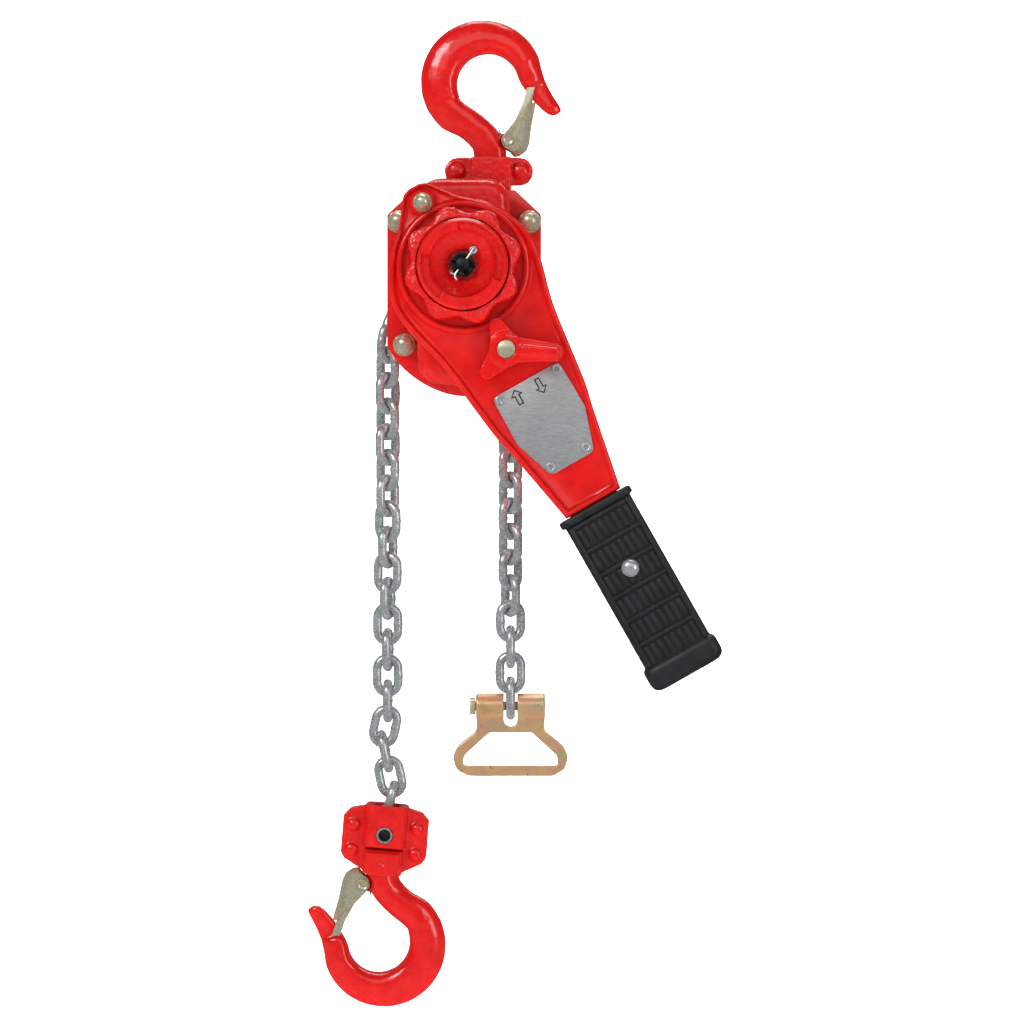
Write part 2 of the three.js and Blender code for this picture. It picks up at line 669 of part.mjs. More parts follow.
function lobedOutline(steps) {
  const points = [];
  for (let i = 0; i < steps; i += 1) {
    const angle = (i / steps) * Math.PI * 2;
    const wave = Math.cos(LOBES * (angle + LOBE_PHASE));
    const radius = 32.6 + 2 * wave;
    points.push([radius * Math.cos(angle), radius * Math.sin(angle)]);
  }
  return outline(points);
}

function handWheel() {
  const rim = plate(lobedOutline(48), -75.5, -61);
  const hub = rod(14.6, -61.2, -49, 24);
  const seat = rod(27.3, -90, -67.6, 32);
  return part('hand_wheel', cut(join(rim, hub), seat, rod(THREAD_R + FIT, -90, 0, 16),
    rod(SHAFT_R + FIT, -61.4, 0, 16)), 'enamel');
}

function wheelCap() {
  const ring = [
    [9.3, -67.9], [27, -67.9], [27, -77.6], [25.4, -79], [21, -78.6], [17, -76.4],
    [12.5, -72.6], [9.3, -69.6], [9.3, -67.9],
  ];
  return part('wheel_cap', turned(ring, 24), 'enamel');
}

// Hexagon nut with three slots across its crown.
function castleNut() {
  const hexagon = rod(7.9, -75.2, -67.9, 6).rotateY(radians(-53));
  const slots = [0, 60, 120].map((degrees) => block(-12, 12, -80, -71.6, -1.5, 1.5).rotateY(radians(degrees - 53)));
  return part('castle_nut', cut(hexagon, rod(THREAD_R + FIT, -90, 0, 14), ...slots), 'blackOxide');
}

function cotterPin() {
  const pin = new THREE.CylinderGeometry(1, 1, 20, 8).rotateZ(radians(90)).translate(1.4, 0, 0)
    .rotateY(radians(-53));
  return part('cotter_pin', pin.translate(0, -73.4, 0), 'zinc');
}

// ---------------------------------------------------------------- chain
function down(degrees) {
  return new THREE.Vector2(Math.sin(radians(degrees)), -Math.cos(radians(degrees)));
}

// One link. `along` is its long axis in X and Z; at no twist its broad side faces the front.
function link(centre, along, twist, wireRadius) {
  const bend = (LINK_WIDTH - WIRE) / 2;
  const straight = PITCH + WIRE - 2 * bend;
  const geometry = new THREE.TorusGeometry(bend, wireRadius, LINK_SIDES, LINK_RINGS)
    .rotateZ(Math.PI / LINK_RINGS).scale(1.1, 1, 1);
  const position = geometry.attributes.position;
  const ringsPerHalf = LINK_RINGS / 2;
  for (let i = 0; i < position.count; i += 1) {
    const ring = i % (LINK_RINGS + 1);
    const side = ring % LINK_RINGS < ringsPerHalf ? 1 : -1;
    position.setY(i, position.getY(i) + (side * straight) / 2);
  }
  const axis = new THREE.Vector3(along.x, 0, along.y);
  const flat = new THREE.Vector3(-along.y, 0, along.x);
  const across = flat.multiplyScalar(Math.cos(twist)).add(new THREE.Vector3(0, Math.sin(twist), 0));
  const normal = new THREE.Vector3().crossVectors(across, axis);
  const place = new THREE.Matrix4().makeBasis(across, axis, normal);
  place.setPosition(centre.x, 0, centre.y);
  return geometry.applyMatrix4(place);
}

// Joined links, drawn slightly stretched so that the length is one solid.
function chainLength(name, links) {
  const middle = (links.length - 1) / 2;
  const pieces = links.map(({ centre, along, twist }, i) => {
    const further = along.clone().multiplyScalar((i - middle) * STRETCH);
    return link(centre.clone().add(further), along, twist, 2.8);
  });
  return part(name, join(...pieces), 'zinc');
}

function split(links, counts, names) {
  let first = 0;
  return counts.map((count, i) => {
    const length = chainLength(names[i], links.slice(first, first + count));
    first += count;
    return length;
  });
}

// The quarter turn between neighbours, less the slow twist of the hanging chain.
function linkTwist(indexFromEnd, straightLinks, twistedLinks, endTwist, turn) {
  const fraction = THREE.MathUtils.clamp((indexFromEnd - straightLinks) / twistedLinks, 0, 1);
  return radians(endTwist + 90 * (indexFromEnd % 2) + turn * fraction);
}

// Tilt of the lowest links of the load chain, counted up from the anchor; positive puts the lower end right.
const LOAD_TILTS = [-4.75, -14, 12, 12, -12];
const LOAD_COUNT = LOAD_SEGMENTS.reduce((sum, count) => sum + count);

function loadLinks() {
  const tilt = (i) => LOAD_TILTS[i] ?? 0;
  const up = new THREE.Vector2(Math.sin(BOTTOM_TILT), Math.cos(BOTTOM_TILT));
  const centre = new THREE.Vector2(...ANCHOR).add(up.multiplyScalar(PITCH / 2 - ANCHOR_R - ANCHOR_SLACK));
  const links = [];
  for (let i = 0; i < LOAD_COUNT; i += 1) {
    links.push({ centre: centre.clone(), along: down(tilt(i)), twist: linkTwist(i, 6, 8, 0, -45) });
    centre.sub(down(tilt(i)).multiplyScalar(PITCH / 2)).sub(down(tilt(i + 1)).multiplyScalar(PITCH / 2));
  }
  return links.reverse();
}

function tailLinks() {
  const count = TAIL_SEGMENTS.reduce((sum, next) => sum + next);
  const links = [];
  for (let i = 0; i < count; i += 1) {
    const centre = new THREE.Vector2(TAIL_X, TAIL_END_Z + i * PITCH);
    links.push({ centre, along: down(0), twist: linkTwist(i, 2, 3, 90, 45) });
  }
  return links.reverse();
}

// Where a line from an outer point touches the sheave's pitch circle.
function tangentAngle(point, side) {
  const distance = point.length();
  return Math.atan2(point.y, point.x) + side * Math.acos(SHEAVE_PITCH_R / distance);
}

// The hidden run: up from the load side, round the sheave and down to the tail, about the shaft axis.
function wrapLinks(loadTop, tailTop) {
  const bend = new THREE.Vector2(loadTop.x, -38);
  const exit = new THREE.Vector2(tailTop.x, -60);
  const start = tangentAngle(bend, -1) + Math.PI * 2;
  const end = tangentAngle(exit, 1);
  const route = [loadTop, bend];
  const arcSteps = 48;
  for (let i = 0; i <= arcSteps; i += 1) {
    const angle = start + ((end - start) * i) / arcSteps;
    route.push(new THREE.Vector2(SHEAVE_PITCH_R * Math.cos(angle), SHEAVE_PITCH_R * Math.sin(angle)));
  }
  route.push(exit, tailTop);
  const lengths = [0];
  for (let i = 1; i < route.length; i += 1) lengths.push(lengths[i - 1] + route[i].distanceTo(route[i - 1]));
  const total = lengths[lengths.length - 1];
  const at = (distance) => {
    const ahead = lengths.findIndex((length) => length >= distance);
    const i = ahead < 0 ? lengths.length - 1 : Math.max(1, ahead);
    return route[i - 1].clone().lerp(route[i], (distance - lengths[i - 1]) / (lengths[i] - lengths[i - 1]));
  };
  const ends = -0.5; // the outer links overshoot their joints a little, which leaves slack there
  const count = Math.floor((total - 2 * ends) / (PITCH + STRETCH / 2));
  const step = (total - 2 * ends) / count;
  const links = [];
  for (let i = 0; i < count; i += 1) {
    const from = at(ends + step * i);
    const to = at(ends + step * (i + 1));
    const along = to.clone().sub(from).normalize();
    links.push({ centre: from.add(to).multiplyScalar(0.5), along, twist: radians(90 * (i % 2) - 45) });
  }
  return links;
}

function chainOnSheave(loadTop, tailTop) {
  const pieces = wrapLinks(loadTop, tailTop)
    .map(({ centre, along, twist }) => link(centre, along, twist, 2.85));
  return part('chain_on_sheave', join(...pieces), 'zinc');
}

// ---------------------------------------------------------------- bottom yoke, about the anchor pin
const YOKE_BOTTOM = -24.6;

function bottomYokeHalf(side) {
  const span = (near, far) => (side < 0 ? [-far, -near] : [near, far]);
  const [y0, y1] = span(0.15, 12);
  const [l0, l1] = span(0.15, 13);
  const [e0, e1] = span(0.15, 5);
  const [r0, r1] = span(0.15, 7);
  const ears = outline([
    [-22, 14.5], [-26.3, 10], [-26.3, -13], [-24, -16.5], [-12, -23], [12, -23],
    [24, -16.5], [26.3, -13], [26.3, 10], [22, 14.5], [8, 18], [-8, 18],
  ]);
  const rivets = [[-19.7, 4.4], [19.7, 4.4], [-19.7, -11], [19.7, -11]].map(([x, z]) => rod(4, r0, r1, 8, x, z));
  const body = join(
    plate(ears, e0, e1),
    block(-13, 13, y0, y1, -8, 18),
    block(-12, 12, l0, l1, YOKE_BOTTOM, -9.5),
    ...rivets,
  );
  const shank = shankCavity().rotateY(Math.PI).translate(0, 0, BOTTOM_HOOK_DROP);
  const chainRoom = block(-10.4, 10.4, -3.4, 3.4, -9.9, 30);
  const wideRoom = block(-7.2, 7.2, -10, 10, 5.5, 30);
  const neckRoom = turned([[0, -30], [11, -30], [11, -21], [0, -21]], 12).rotateX(Math.PI / 2);
  const head = rod(5.2, -20, -9, 14);
  const latchRoom = turned([[14, -27], [22, -27], [22, -23.9], [17.6, -21.7], [14, -24.4], [14, -27]], 24)
    .rotateX(Math.PI / 2);
  return cut(body, shank, neckRoom, chainRoom, wideRoom, latchRoom, rod(ANCHOR_R + FIT, -20, 20, 14), head);
}

function anchorPin() {
  const profile = [
    [0, -10.4], [3.7, -10.4], [3.7, -12.6], [4.9, -12.6], [4.9, -9.4], [ANCHOR_R, -9.4],
    [ANCHOR_R, 11.6], [0, 11.6],
  ];
  return part('anchor_pin', turned(profile, 16), 'zinc');
}

function bottomSet() {
  const set = new THREE.Group();
  set.position.set(ANCHOR[0], 0, ANCHOR[1]);
  set.rotation.y = BOTTOM_TILT;
  const hook = new THREE.Group();
  hook.position.z = BOTTOM_HOOK_DROP;
  hook.rotation.y = Math.PI;
  hook.add(...hookSet('bottom'));
  set.add(
    part('bottom_yoke_front', bottomYokeHalf(-1), 'enamel'),
    part('bottom_yoke_rear', bottomYokeHalf(1), 'enamel'),
    anchorPin(),
    hook,
  );
  return set;
}

// ---------------------------------------------------------------- stop handle on the tail chain
const STOP_BOLT_R = 3;
const STOP_AXIS_Z = TAIL_END_Z - PITCH / 2 + STOP_BOLT_R;

function stopHandle() {
  const barrel = rod(7.8, -21.25, 21.25, 18).rotateZ(Math.PI / 2);
  const frame = outline([
    [-21, 0], [-21, -15.2], [-32.4, -24.4], [-35.4, -31], [-33.4, -39], [-26, -43], [26, -43],
    [33.4, -39], [35.4, -31], [32.4, -24.4], [21, -15.2], [21, 0],
  ]);
  const window = outline([
    [-13, -16.2], [-28.6, -30.4], [-30, -33.4], [-27.6, -36.8], [27.6, -36.8], [30, -33.4], [28.6, -30.4], [13, -16.2],
  ]);
  const body = join(barrel, plate(frame, -3, 3));
  const slot = block(-4.4, 4.4, -12, 12, -12.8, 20);
  const bore = rod(STOP_BOLT_R + FIT, -30, 30, 12).rotateZ(Math.PI / 2);
  return part('stop_handle', cut(body, plate(window, -10, 10), slot, bore), 'goldZinc');
}

function stopBolt() {
  const shank = rod(STOP_BOLT_R - 0.2, -21, 21, 12).rotateZ(Math.PI / 2);
  const head = rod(5.4, 21.6, 25, 6).rotateZ(Math.PI / 2);
  const neck = rod(STOP_BOLT_R - 0.2, 20, 22, 12).rotateZ(Math.PI / 2);
  return part('stop_bolt', join(shank, neck, head), 'goldZinc');
}

function stopSet() {
  const set = new THREE.Group();
  set.position.set(TAIL_X, 0, STOP_AXIS_Z);
  set.add(stopHandle(), stopBolt());
  return set;
}

// ---------------------------------------------------------------- assembly
function hoistBody(loadTop, tailTop) {
  const body = new THREE.Group();
  body.position.set(SHAFT_X, 0, SHAFT_Z);
  body.add(
    sidePlate('side_plate_front', PLATE_FRONT, -PLATE_HALF_GAP),
    sidePlate('side_plate_rear', PLATE_HALF_GAP, -PLATE_FRONT),
    yokePin(),
    chainStripper(),
    brakeCover(),
    gearCover(),
    pinionShaft(),
    loadSheave(),
    loadGear(),
    discGear('upper', GEAR_OFFSET),
    discGear('lower', -GEAR_OFFSET),
    frictionDisc('rear', -23.8, -21),
    ratchetDisc(),
    frictionDisc('front', -31, -28.4),
    pawl('left', 168),
    pawl('right', 348),
    changeGear(),
    handWheel(),
    wheelCap(),
    castleNut(),
    cotterPin(),
    chainOnSheave(loadTop, tailTop),
  );
  for (const [label, place] of Object.entries(STAYS)) body.add(...stay(label, place));
  return body;
}

function lever() {
  const group = new THREE.Group();
  group.position.set(SHAFT_X, 0, SHAFT_Z);
  group.rotation.y = -LEVER_ANGLE;
  group.add(
    leverBackHalf(), leverFrontHalf(), earBolt(), grip(), gripRivet(),
    ratingPlate(), selector(), selectorPin(), changePawl(),
  );
  return group;
}

function hoist() {
  const load = loadLinks();
  const tail = tailLinks();
  const shaft = new THREE.Vector2(SHAFT_X, SHAFT_Z);
  const half = new THREE.Vector2(0, PITCH / 2);
  const loadTop = load[0].centre.clone().add(half).sub(shaft);
  const tailTop = tail[0].centre.clone().add(half).sub(shaft);
  const group = new THREE.Group();
  group.add(
    ...hookSet('top'),
    ...topYoke(),
    hoistBody(loadTop, tailTop),
    lever(),
    ...split(load, LOAD_SEGMENTS, LOAD_NAMES),
    bottomSet(),
    ...split(tail, TAIL_SEGMENTS, TAIL_NAMES),
    stopSet(),
  );
  return group;
}

export default hoist();
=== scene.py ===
"""Looks of a ratchet lever chain hoist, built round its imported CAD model.

Lengths are in mm until dress() brings a piece to metres. The front is -Y and up is +Z.
"""

import json
import math

import bmesh
import bpy
from mathutils import Matrix, Vector

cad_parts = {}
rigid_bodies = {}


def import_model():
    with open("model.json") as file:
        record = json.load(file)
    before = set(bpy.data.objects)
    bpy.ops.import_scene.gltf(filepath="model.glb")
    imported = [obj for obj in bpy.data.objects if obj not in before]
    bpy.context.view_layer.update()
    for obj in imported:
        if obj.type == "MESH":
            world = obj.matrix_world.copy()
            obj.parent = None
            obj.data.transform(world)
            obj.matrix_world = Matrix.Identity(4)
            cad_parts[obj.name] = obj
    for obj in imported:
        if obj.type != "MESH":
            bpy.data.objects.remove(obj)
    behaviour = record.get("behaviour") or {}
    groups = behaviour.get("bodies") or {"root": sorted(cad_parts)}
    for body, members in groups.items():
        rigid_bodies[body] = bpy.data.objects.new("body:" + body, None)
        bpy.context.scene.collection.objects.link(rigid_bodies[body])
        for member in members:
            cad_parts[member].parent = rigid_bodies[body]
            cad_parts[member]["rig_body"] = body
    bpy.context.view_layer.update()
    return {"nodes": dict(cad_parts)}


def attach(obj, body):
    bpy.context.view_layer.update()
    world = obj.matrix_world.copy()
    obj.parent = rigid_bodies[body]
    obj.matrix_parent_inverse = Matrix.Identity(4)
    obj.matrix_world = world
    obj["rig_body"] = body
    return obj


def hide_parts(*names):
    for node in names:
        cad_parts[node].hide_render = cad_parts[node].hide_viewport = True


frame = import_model()
NODES = frame["nodes"]

MM = 0.001
SHAFT = (-16, -136)  # (x, z) of the hand wheel's shaft
ANCHOR = (-64.9, -480)  # (x, z) of the load chain's anchor pin
BOTTOM_TILT = 4.75  # degrees
BOTTOM_HOOK_DROP = 85.5
LEVER_ANGLE = 29.6  # degrees
TAIL_X = 12.3
TAIL_END_Z = -396.6
STOP_BOLT_RISE = 3
WIRE = 5.6
PITCH = 15.8
LINK_WIDTH = 18.6


def placed(x, z, clockwise=0):
    return Matrix.Translation((x, 0, z)) @ Matrix.Rotation(math.radians(clockwise), 4, "Y")


HERE = Matrix.Identity(4)
BODY = placed(*SHAFT)
LEVER = placed(*SHAFT, -LEVER_ANGLE)
BOTTOM = placed(*ANCHOR, BOTTOM_TILT)
BOTTOM_HOOK = BOTTOM @ placed(0, -BOTTOM_HOOK_DROP, 180)
STOP = placed(TAIL_X, TAIL_END_Z - PITCH / 2 + STOP_BOLT_RISE)


# ---------------------------------------------------------------- outlines, as (x, z) points
def area(points):
    return sum(a[0] * b[1] - b[0] * a[1] for a, b in zip(points, points[1:] + points[:1])) / 2


def anticlockwise(points):
    return points if area(points) > 0 else points[::-1]


def fillet(points, radius, steps=5):
    """Rounds each corner; radius is one number or one for each point."""
    radii = radius if isinstance(radius, (list, tuple)) else [radius] * len(points)
    rounded = []
    for i, corner in enumerate(points):
        p, a, b = Vector(corner), Vector(points[i - 1]), Vector(points[(i + 1) % len(points)])
        u, v = (a - p), (b - p)
        half = u.angle(v) / 2
        reach = min(radii[i] / max(math.tan(half), 0.05), 0.46 * u.length, 0.46 * v.length)
        if reach < 0.02:
            rounded.append(tuple(p))
            continue
        start, end = p + u.normalized() * reach, p + v.normalized() * reach
        for k in range(steps + 1):
            t = k / steps
            rounded.append(tuple(start * (1 - t) ** 2 + p * 2 * t * (1 - t) + end * t * t))
    return rounded


def curve_through(points, steps, closed=True):
    """A Catmull-Rom curve; points may have any number of coordinates."""
    count = len(points)
    out = []
    for i in range(count if closed else count - 1):
        near = [
            points[(i + k) % count] if closed else points[min(max(i + k, 0), count - 1)]
            for k in (-1, 0, 1, 2)
        ]
        for s in range(steps):
            t = s / steps
            weights = (
                -t ** 3 + 2 * t ** 2 - t, 3 * t ** 3 - 5 * t ** 2 + 2,
                -3 * t ** 3 + 4 * t ** 2 + t, t ** 3 - t ** 2,
            )
            out.append(tuple(
                sum(w * p[c] for w, p in zip(weights, near)) / 2 for c in range(len(near[0]))
            ))
    if not closed:
        out.append(tuple(points[-1]))
    return out


def inset(points, distance):
    """Moves an outline inwards. Points that would cross are drawn together, so it keeps its count."""
    points = [Vector(p) for p in anticlockwise(points)]
    count = len(points)
    edges = [points[(i + 1) % count] - points[i] for i in range(count)]
    normals = [Vector((-e.y, e.x)).normalized() for e in edges]
    moved_points = []
    for i in range(count):
        middle = (normals[i - 1] + normals[i]).normalized()
        moved_points.append(points[i] + middle * distance / max(0.6, middle.dot(normals[i])))
    for _ in range(12):
        crossed = [
            i for i in range(count)
            if (moved_points[(i + 1) % count] - moved_points[i]).dot(edges[i]) < -1e-9
        ]
        for i in crossed:
            middle = (moved_points[i] + moved_points[(i + 1) % count]) / 2
            moved_points[i], moved_points[(i + 1) % count] = middle, middle.copy()
        if not crossed:
            break
    return [tuple(p) for p in moved_points]


def circle(radius, x=0, z=0, sides=64, start=0.0):
    step = 2 * math.pi / sides
    return [
        (x + radius * math.cos(start + i * step), z + radius * math.sin(start + i * step))
        for i in range(sides)
    ]


def arc(x, z, radius, start, end, steps):
    angles = [math.radians(start + (end - start) * i / steps) for i in range(steps + 1)]
    return [(x + radius * math.cos(a), z + radius * math.sin(a)) for a in angles]


# ---------------------------------------------------------------- shapes, as (vertices, faces)
def tube(rows, ring=False):
    """Quads between rows of equal length, closed by end faces unless the rows make a ring."""
    n = len(rows[0])
    verts = [p for row in rows for p in row]
    faces = []
    for r in range(len(rows) if ring else len(rows) - 1):
        a, b = r * n, ((r + 1) % len(rows)) * n
        faces += [(a + i, a + (i + 1) % n, b + (i + 1) % n, b + i) for i in range(n)]
    if not ring:
        faces += [tuple(range(n))[::-1], tuple(range((len(rows) - 1) * n, len(rows) * n))]
    return verts, faces


def stack(layers):
    """An outline carried through depths: (outline, y) pairs with as many points in each."""
    return tube([[(x, y, z) for x, z in points] for points, y in layers])


def prism(points, y0, y1):
    return stack([(points, y0), (points, y1)])


def soft_prism(points, y0, y1, edge=0.6):
    """A prism whose front and back edges are rounded."""
    points = anticlockwise(points)
    steps = ((0, 1), (0.13, 0.5), (0.5, 0.13), (1, 0))
    front = [(inset(points, edge * a), y0 + edge * b) for a, b in steps]
    back = [(inset(points, edge * a), y1 - edge * b) for a, b in steps]
    return stack(front[::-1] + back)


def lathe(profile, sides=64, ring=False, radius_at=None):
    """A profile of (radius, y) turned about Y."""
    rows = []
    for radius, y in profile:
        row = []
        for i in range(sides):
            a = 2 * math.pi * i / sides
            r = radius if radius_at is None else radius_at(radius, a)
            row.append((r * math.cos(a), y, r * math.sin(a)))
        rows.append(row)
    return tube(rows, ring)


def rod(radius, y0, y1, x=0, z=0, sides=48):
    return prism(circle(radius, x, z, sides), y0, y1)


def box(x0, x1, y0, y1, z0, z1):
    return prism([(x0, z0), (x1, z0), (x1, z1), (x0, z1)], y0, y1)


def moved(shape, matrix):
    return [tuple(matrix @ Vector(v)) for v in shape[0]], shape[1]


def shifted(shape, x=0, y=0, z=0):
    return moved(shape, Matrix.Translation((x, y, z)))


def merged(*shapes):
    verts, faces = [], []
    for shape_verts, shape_faces in shapes:
        faces += [tuple(i + len(verts) for i in face) for face in shape_faces]
        verts += shape_verts
    return verts, faces


def sweep(path, radius, sides=10, closed=False):
    """A round wire along 3-D points; radius is a number or a function of the share of the path."""
    points = [Vector(p) for p in path]
    count = len(points)
    side = None
    rows = []
    for i, p in enumerate(points):
        ahead = points[(i + 1) % count] if closed or i < count - 1 else p
        behind = points[i - 1] if closed or i else p
        along = (ahead - behind).normalized()
        if side is None:
            side = along.orthogonal()
        side = (side - along * side.dot(along)).normalized()
        other = along.cross(side)
        r = radius(i / count) if callable(radius) else radius
        rows.append([
            tuple(p + side * r * math.cos(a) + other * r * math.sin(a))
            for a in (2 * math.pi * k / sides for k in range(sides))
        ])
    return tube(rows, closed)


# ---------------------------------------------------------------- objects
PLACES = {}


def welded(mesh):
    bm = bmesh.new()
    bm.from_mesh(mesh)
    bmesh.ops.remove_doubles(bm, verts=bm.verts, dist=0.002)
    bmesh.ops.dissolve_degenerate(bm, edges=bm.edges, dist=0.001)
    bmesh.ops.recalc_face_normals(bm, faces=bm.faces)
    bm.to_mesh(mesh)
    bm.free()


def solid(name, shape, place=HERE):
    """A mesh in mm, in the axes of its place. dress() brings it to metres and the shared frame."""
    verts, faces = shape
    mesh = bpy.data.meshes.new(name)
    mesh.from_pydata(verts, [], faces)
    welded(mesh)
    obj = bpy.data.objects.new(name, mesh)
    bpy.context.scene.collection.objects.link(obj)
    PLACES[name] = place
    return obj


def settle(obj):
    """Applies the object's modifiers to its mesh."""
    bpy.context.view_layer.update()
    graph = bpy.context.evaluated_depsgraph_get()
    mesh = bpy.data.meshes.new_from_object(obj.evaluated_get(graph))
    obj.modifiers.clear()
    obj.data = mesh
    return obj


def boolean(obj, tools, operation):
    for shape in tools:
        tool = solid("tool", shape)
        modifier = obj.modifiers.new("bool", "BOOLEAN")
        modifier.operation, modifier.object, modifier.solver = operation, tool, "EXACT"
        settle(obj)
        bpy.data.objects.remove(tool)
    return obj


def cut(obj, *tools):
    return boolean(obj, tools, "DIFFERENCE")


def fuse(obj, *tools):
    return boolean(obj, tools, "UNION")


def cast(obj, voxel, smooth, lumps=0.0, size=4.0):
    """One fused skin with soft edges, as a casting or forging has, with slight lumps in it."""
    remesh = obj.modifiers.new("fuse", "REMESH")
    remesh.mode, remesh.voxel_size, remesh.adaptivity = "VOXEL", voxel, 0
    soften = obj.modifiers.new("soften", "SMOOTH")
    soften.factor, soften.iterations = 0.5, smooth
    if lumps:
        texture = bpy.data.textures.new("lumps", "CLOUDS")
        texture.noise_scale, texture.noise_depth = size, 2
        push = obj.modifiers.new("lumps", "DISPLACE")
        push.texture, push.texture_coords = texture, "LOCAL"
        push.strength, push.mid_level = lumps, 0.5
    return settle(obj)


def copy_of(node, name, place=HERE):
    """A copy of a CAD node's solid to build a finer piece from."""
    mesh = NODES[node].data.copy()
    mesh.transform(place.inverted() @ Matrix.Scale(1 / MM, 4))
    welded(mesh)
    mesh.materials.clear()
    obj = bpy.data.objects.new(name, mesh)
    bpy.context.scene.collection.objects.link(obj)
    PLACES[name] = place
    return obj


def bevel(obj, width, segments=3, angle=32, unit=1):
    modifier = obj.modifiers.new("edges", "BEVEL")
    modifier.width, modifier.segments = width * unit, segments
    modifier.limit_method, modifier.angle_limit = "ANGLE", math.radians(angle)
    modifier.use_clamp_overlap = True
    return obj


def dress(obj, finish, *nodes, body=None, smooth=38):
    """Gives a piece its material and body, and hides the CAD nodes that it stands for."""
    settle(obj)
    obj.data.transform(Matrix.Scale(MM, 4) @ PLACES[obj.name])
    obj.data.polygons.foreach_set("use_smooth", [True] * len(obj.data.polygons))
    obj.data.set_sharp_from_angle(angle=math.radians(smooth))
    obj.data.materials.clear()
    obj.data.materials.append(FINISH[finish])
    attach(obj, body or NODES[nodes[0]]["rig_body"])
    if nodes:
        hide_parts(*nodes)
    return obj


# ---------------------------------------------------------------- materials
def material(name, colours, metallic, roughness, bumps, patch=120.0, stretch=(1, 1, 1), **sockets):
    """Builds one material.

    colours: (position, rgb) stops spread by a noise; roughness: (low, high);
    bumps: (scale per m, strength, mm).
    """
    mat = bpy.data.materials.new(name)
    mat.use_nodes = True
    nodes, links = mat.node_tree.nodes, mat.node_tree.links
    shader = nodes["Principled BSDF"]
    shader.inputs["Metallic"].default_value = metallic
    for socket, value in sockets.items():
        shader.inputs[socket.replace("_", " ")].default_value = value
    place = nodes.new("ShaderNodeTexCoord")
    mapping = nodes.new("ShaderNodeMapping")
    mapping.inputs["Scale"].default_value = stretch
    links.new(place.outputs["Object"], mapping.inputs["Vector"])

    def noise(scale):
        node = nodes.new("ShaderNodeTexNoise")
        node.inputs["Scale"].default_value = scale
        node.inputs["Detail"].default_value = 4.0
        links.new(mapping.outputs["Vector"], node.inputs["Vector"])
        return node.outputs["Fac"]

    ramp = nodes.new("ShaderNodeValToRGB")
    stops = ramp.color_ramp.elements
    while len(stops) < len(colours):
        stops.new(0.5)
    for stop, (position, rgb) in zip(stops, colours):
        stop.position, stop.color = position, (*rgb, 1)
    links.new(noise(patch), ramp.inputs["Fac"])
    links.new(ramp.outputs["Color"], shader.inputs["Base Color"])
    spread = nodes.new("ShaderNodeMapRange")
    for socket, value in zip(("From Min", "From Max", "To Min", "To Max"), (0.3, 0.7, *roughness)):
        spread.inputs[socket].default_value = value
    links.new(noise(patch * 3.1), spread.inputs["Value"])
    links.new(spread.outputs["Result"], shader.inputs["Roughness"])
    normal = None
    for scale, strength, height in bumps:
        bump = nodes.new("ShaderNodeBump")
        bump.inputs["Strength"].default_value = strength
        bump.inputs["Distance"].default_value = height * MM
        links.new(noise(scale), bump.inputs["Height"])
        if normal:
            links.new(normal, bump.inputs["Normal"])
        normal = bump.outputs["Normal"]
    if normal:
        links.new(normal, shader.inputs["Normal"])
    return mat


RED_STOPS = [(0.3, (0.60, 0.004, 0.004)), (0.7, (0.74, 0.008, 0.006))]
YELLOW_STOPS = [(0.3, (0.52, 0.47, 0.27)), (0.5, (0.60, 0.57, 0.40)), (0.7, (0.56, 0.54, 0.45))]
GOLD_STOPS = [
    (0.3, (0.62, 0.36, 0.18)), (0.42, (0.74, 0.50, 0.24)), (0.56, (0.72, 0.40, 0.26)),
    (0.7, (0.54, 0.50, 0.24)),
]
ZINC_STOPS = [(0.3, (0.40, 0.43, 0.44)), (0.7, (0.62, 0.65, 0.66))]
STEEL_STOPS = [(0.3, (0.34, 0.35, 0.36)), (0.7, (0.52, 0.53, 0.54))]
BLACK_STOPS = [(0.3, (0.012, 0.012, 0.013)), (0.7, (0.03, 0.03, 0.032))]
RUBBER_STOPS = [(0.3, (0.008, 0.009, 0.010)), (0.7, (0.016, 0.017, 0.019))]
LINING_STOPS = [(0.3, (0.16, 0.12, 0.09)), (0.7, (0.28, 0.21, 0.15))]
BRUSHED_STOPS = [(0.35, (0.42, 0.43, 0.44)), (0.65, (0.56, 0.57, 0.58))]
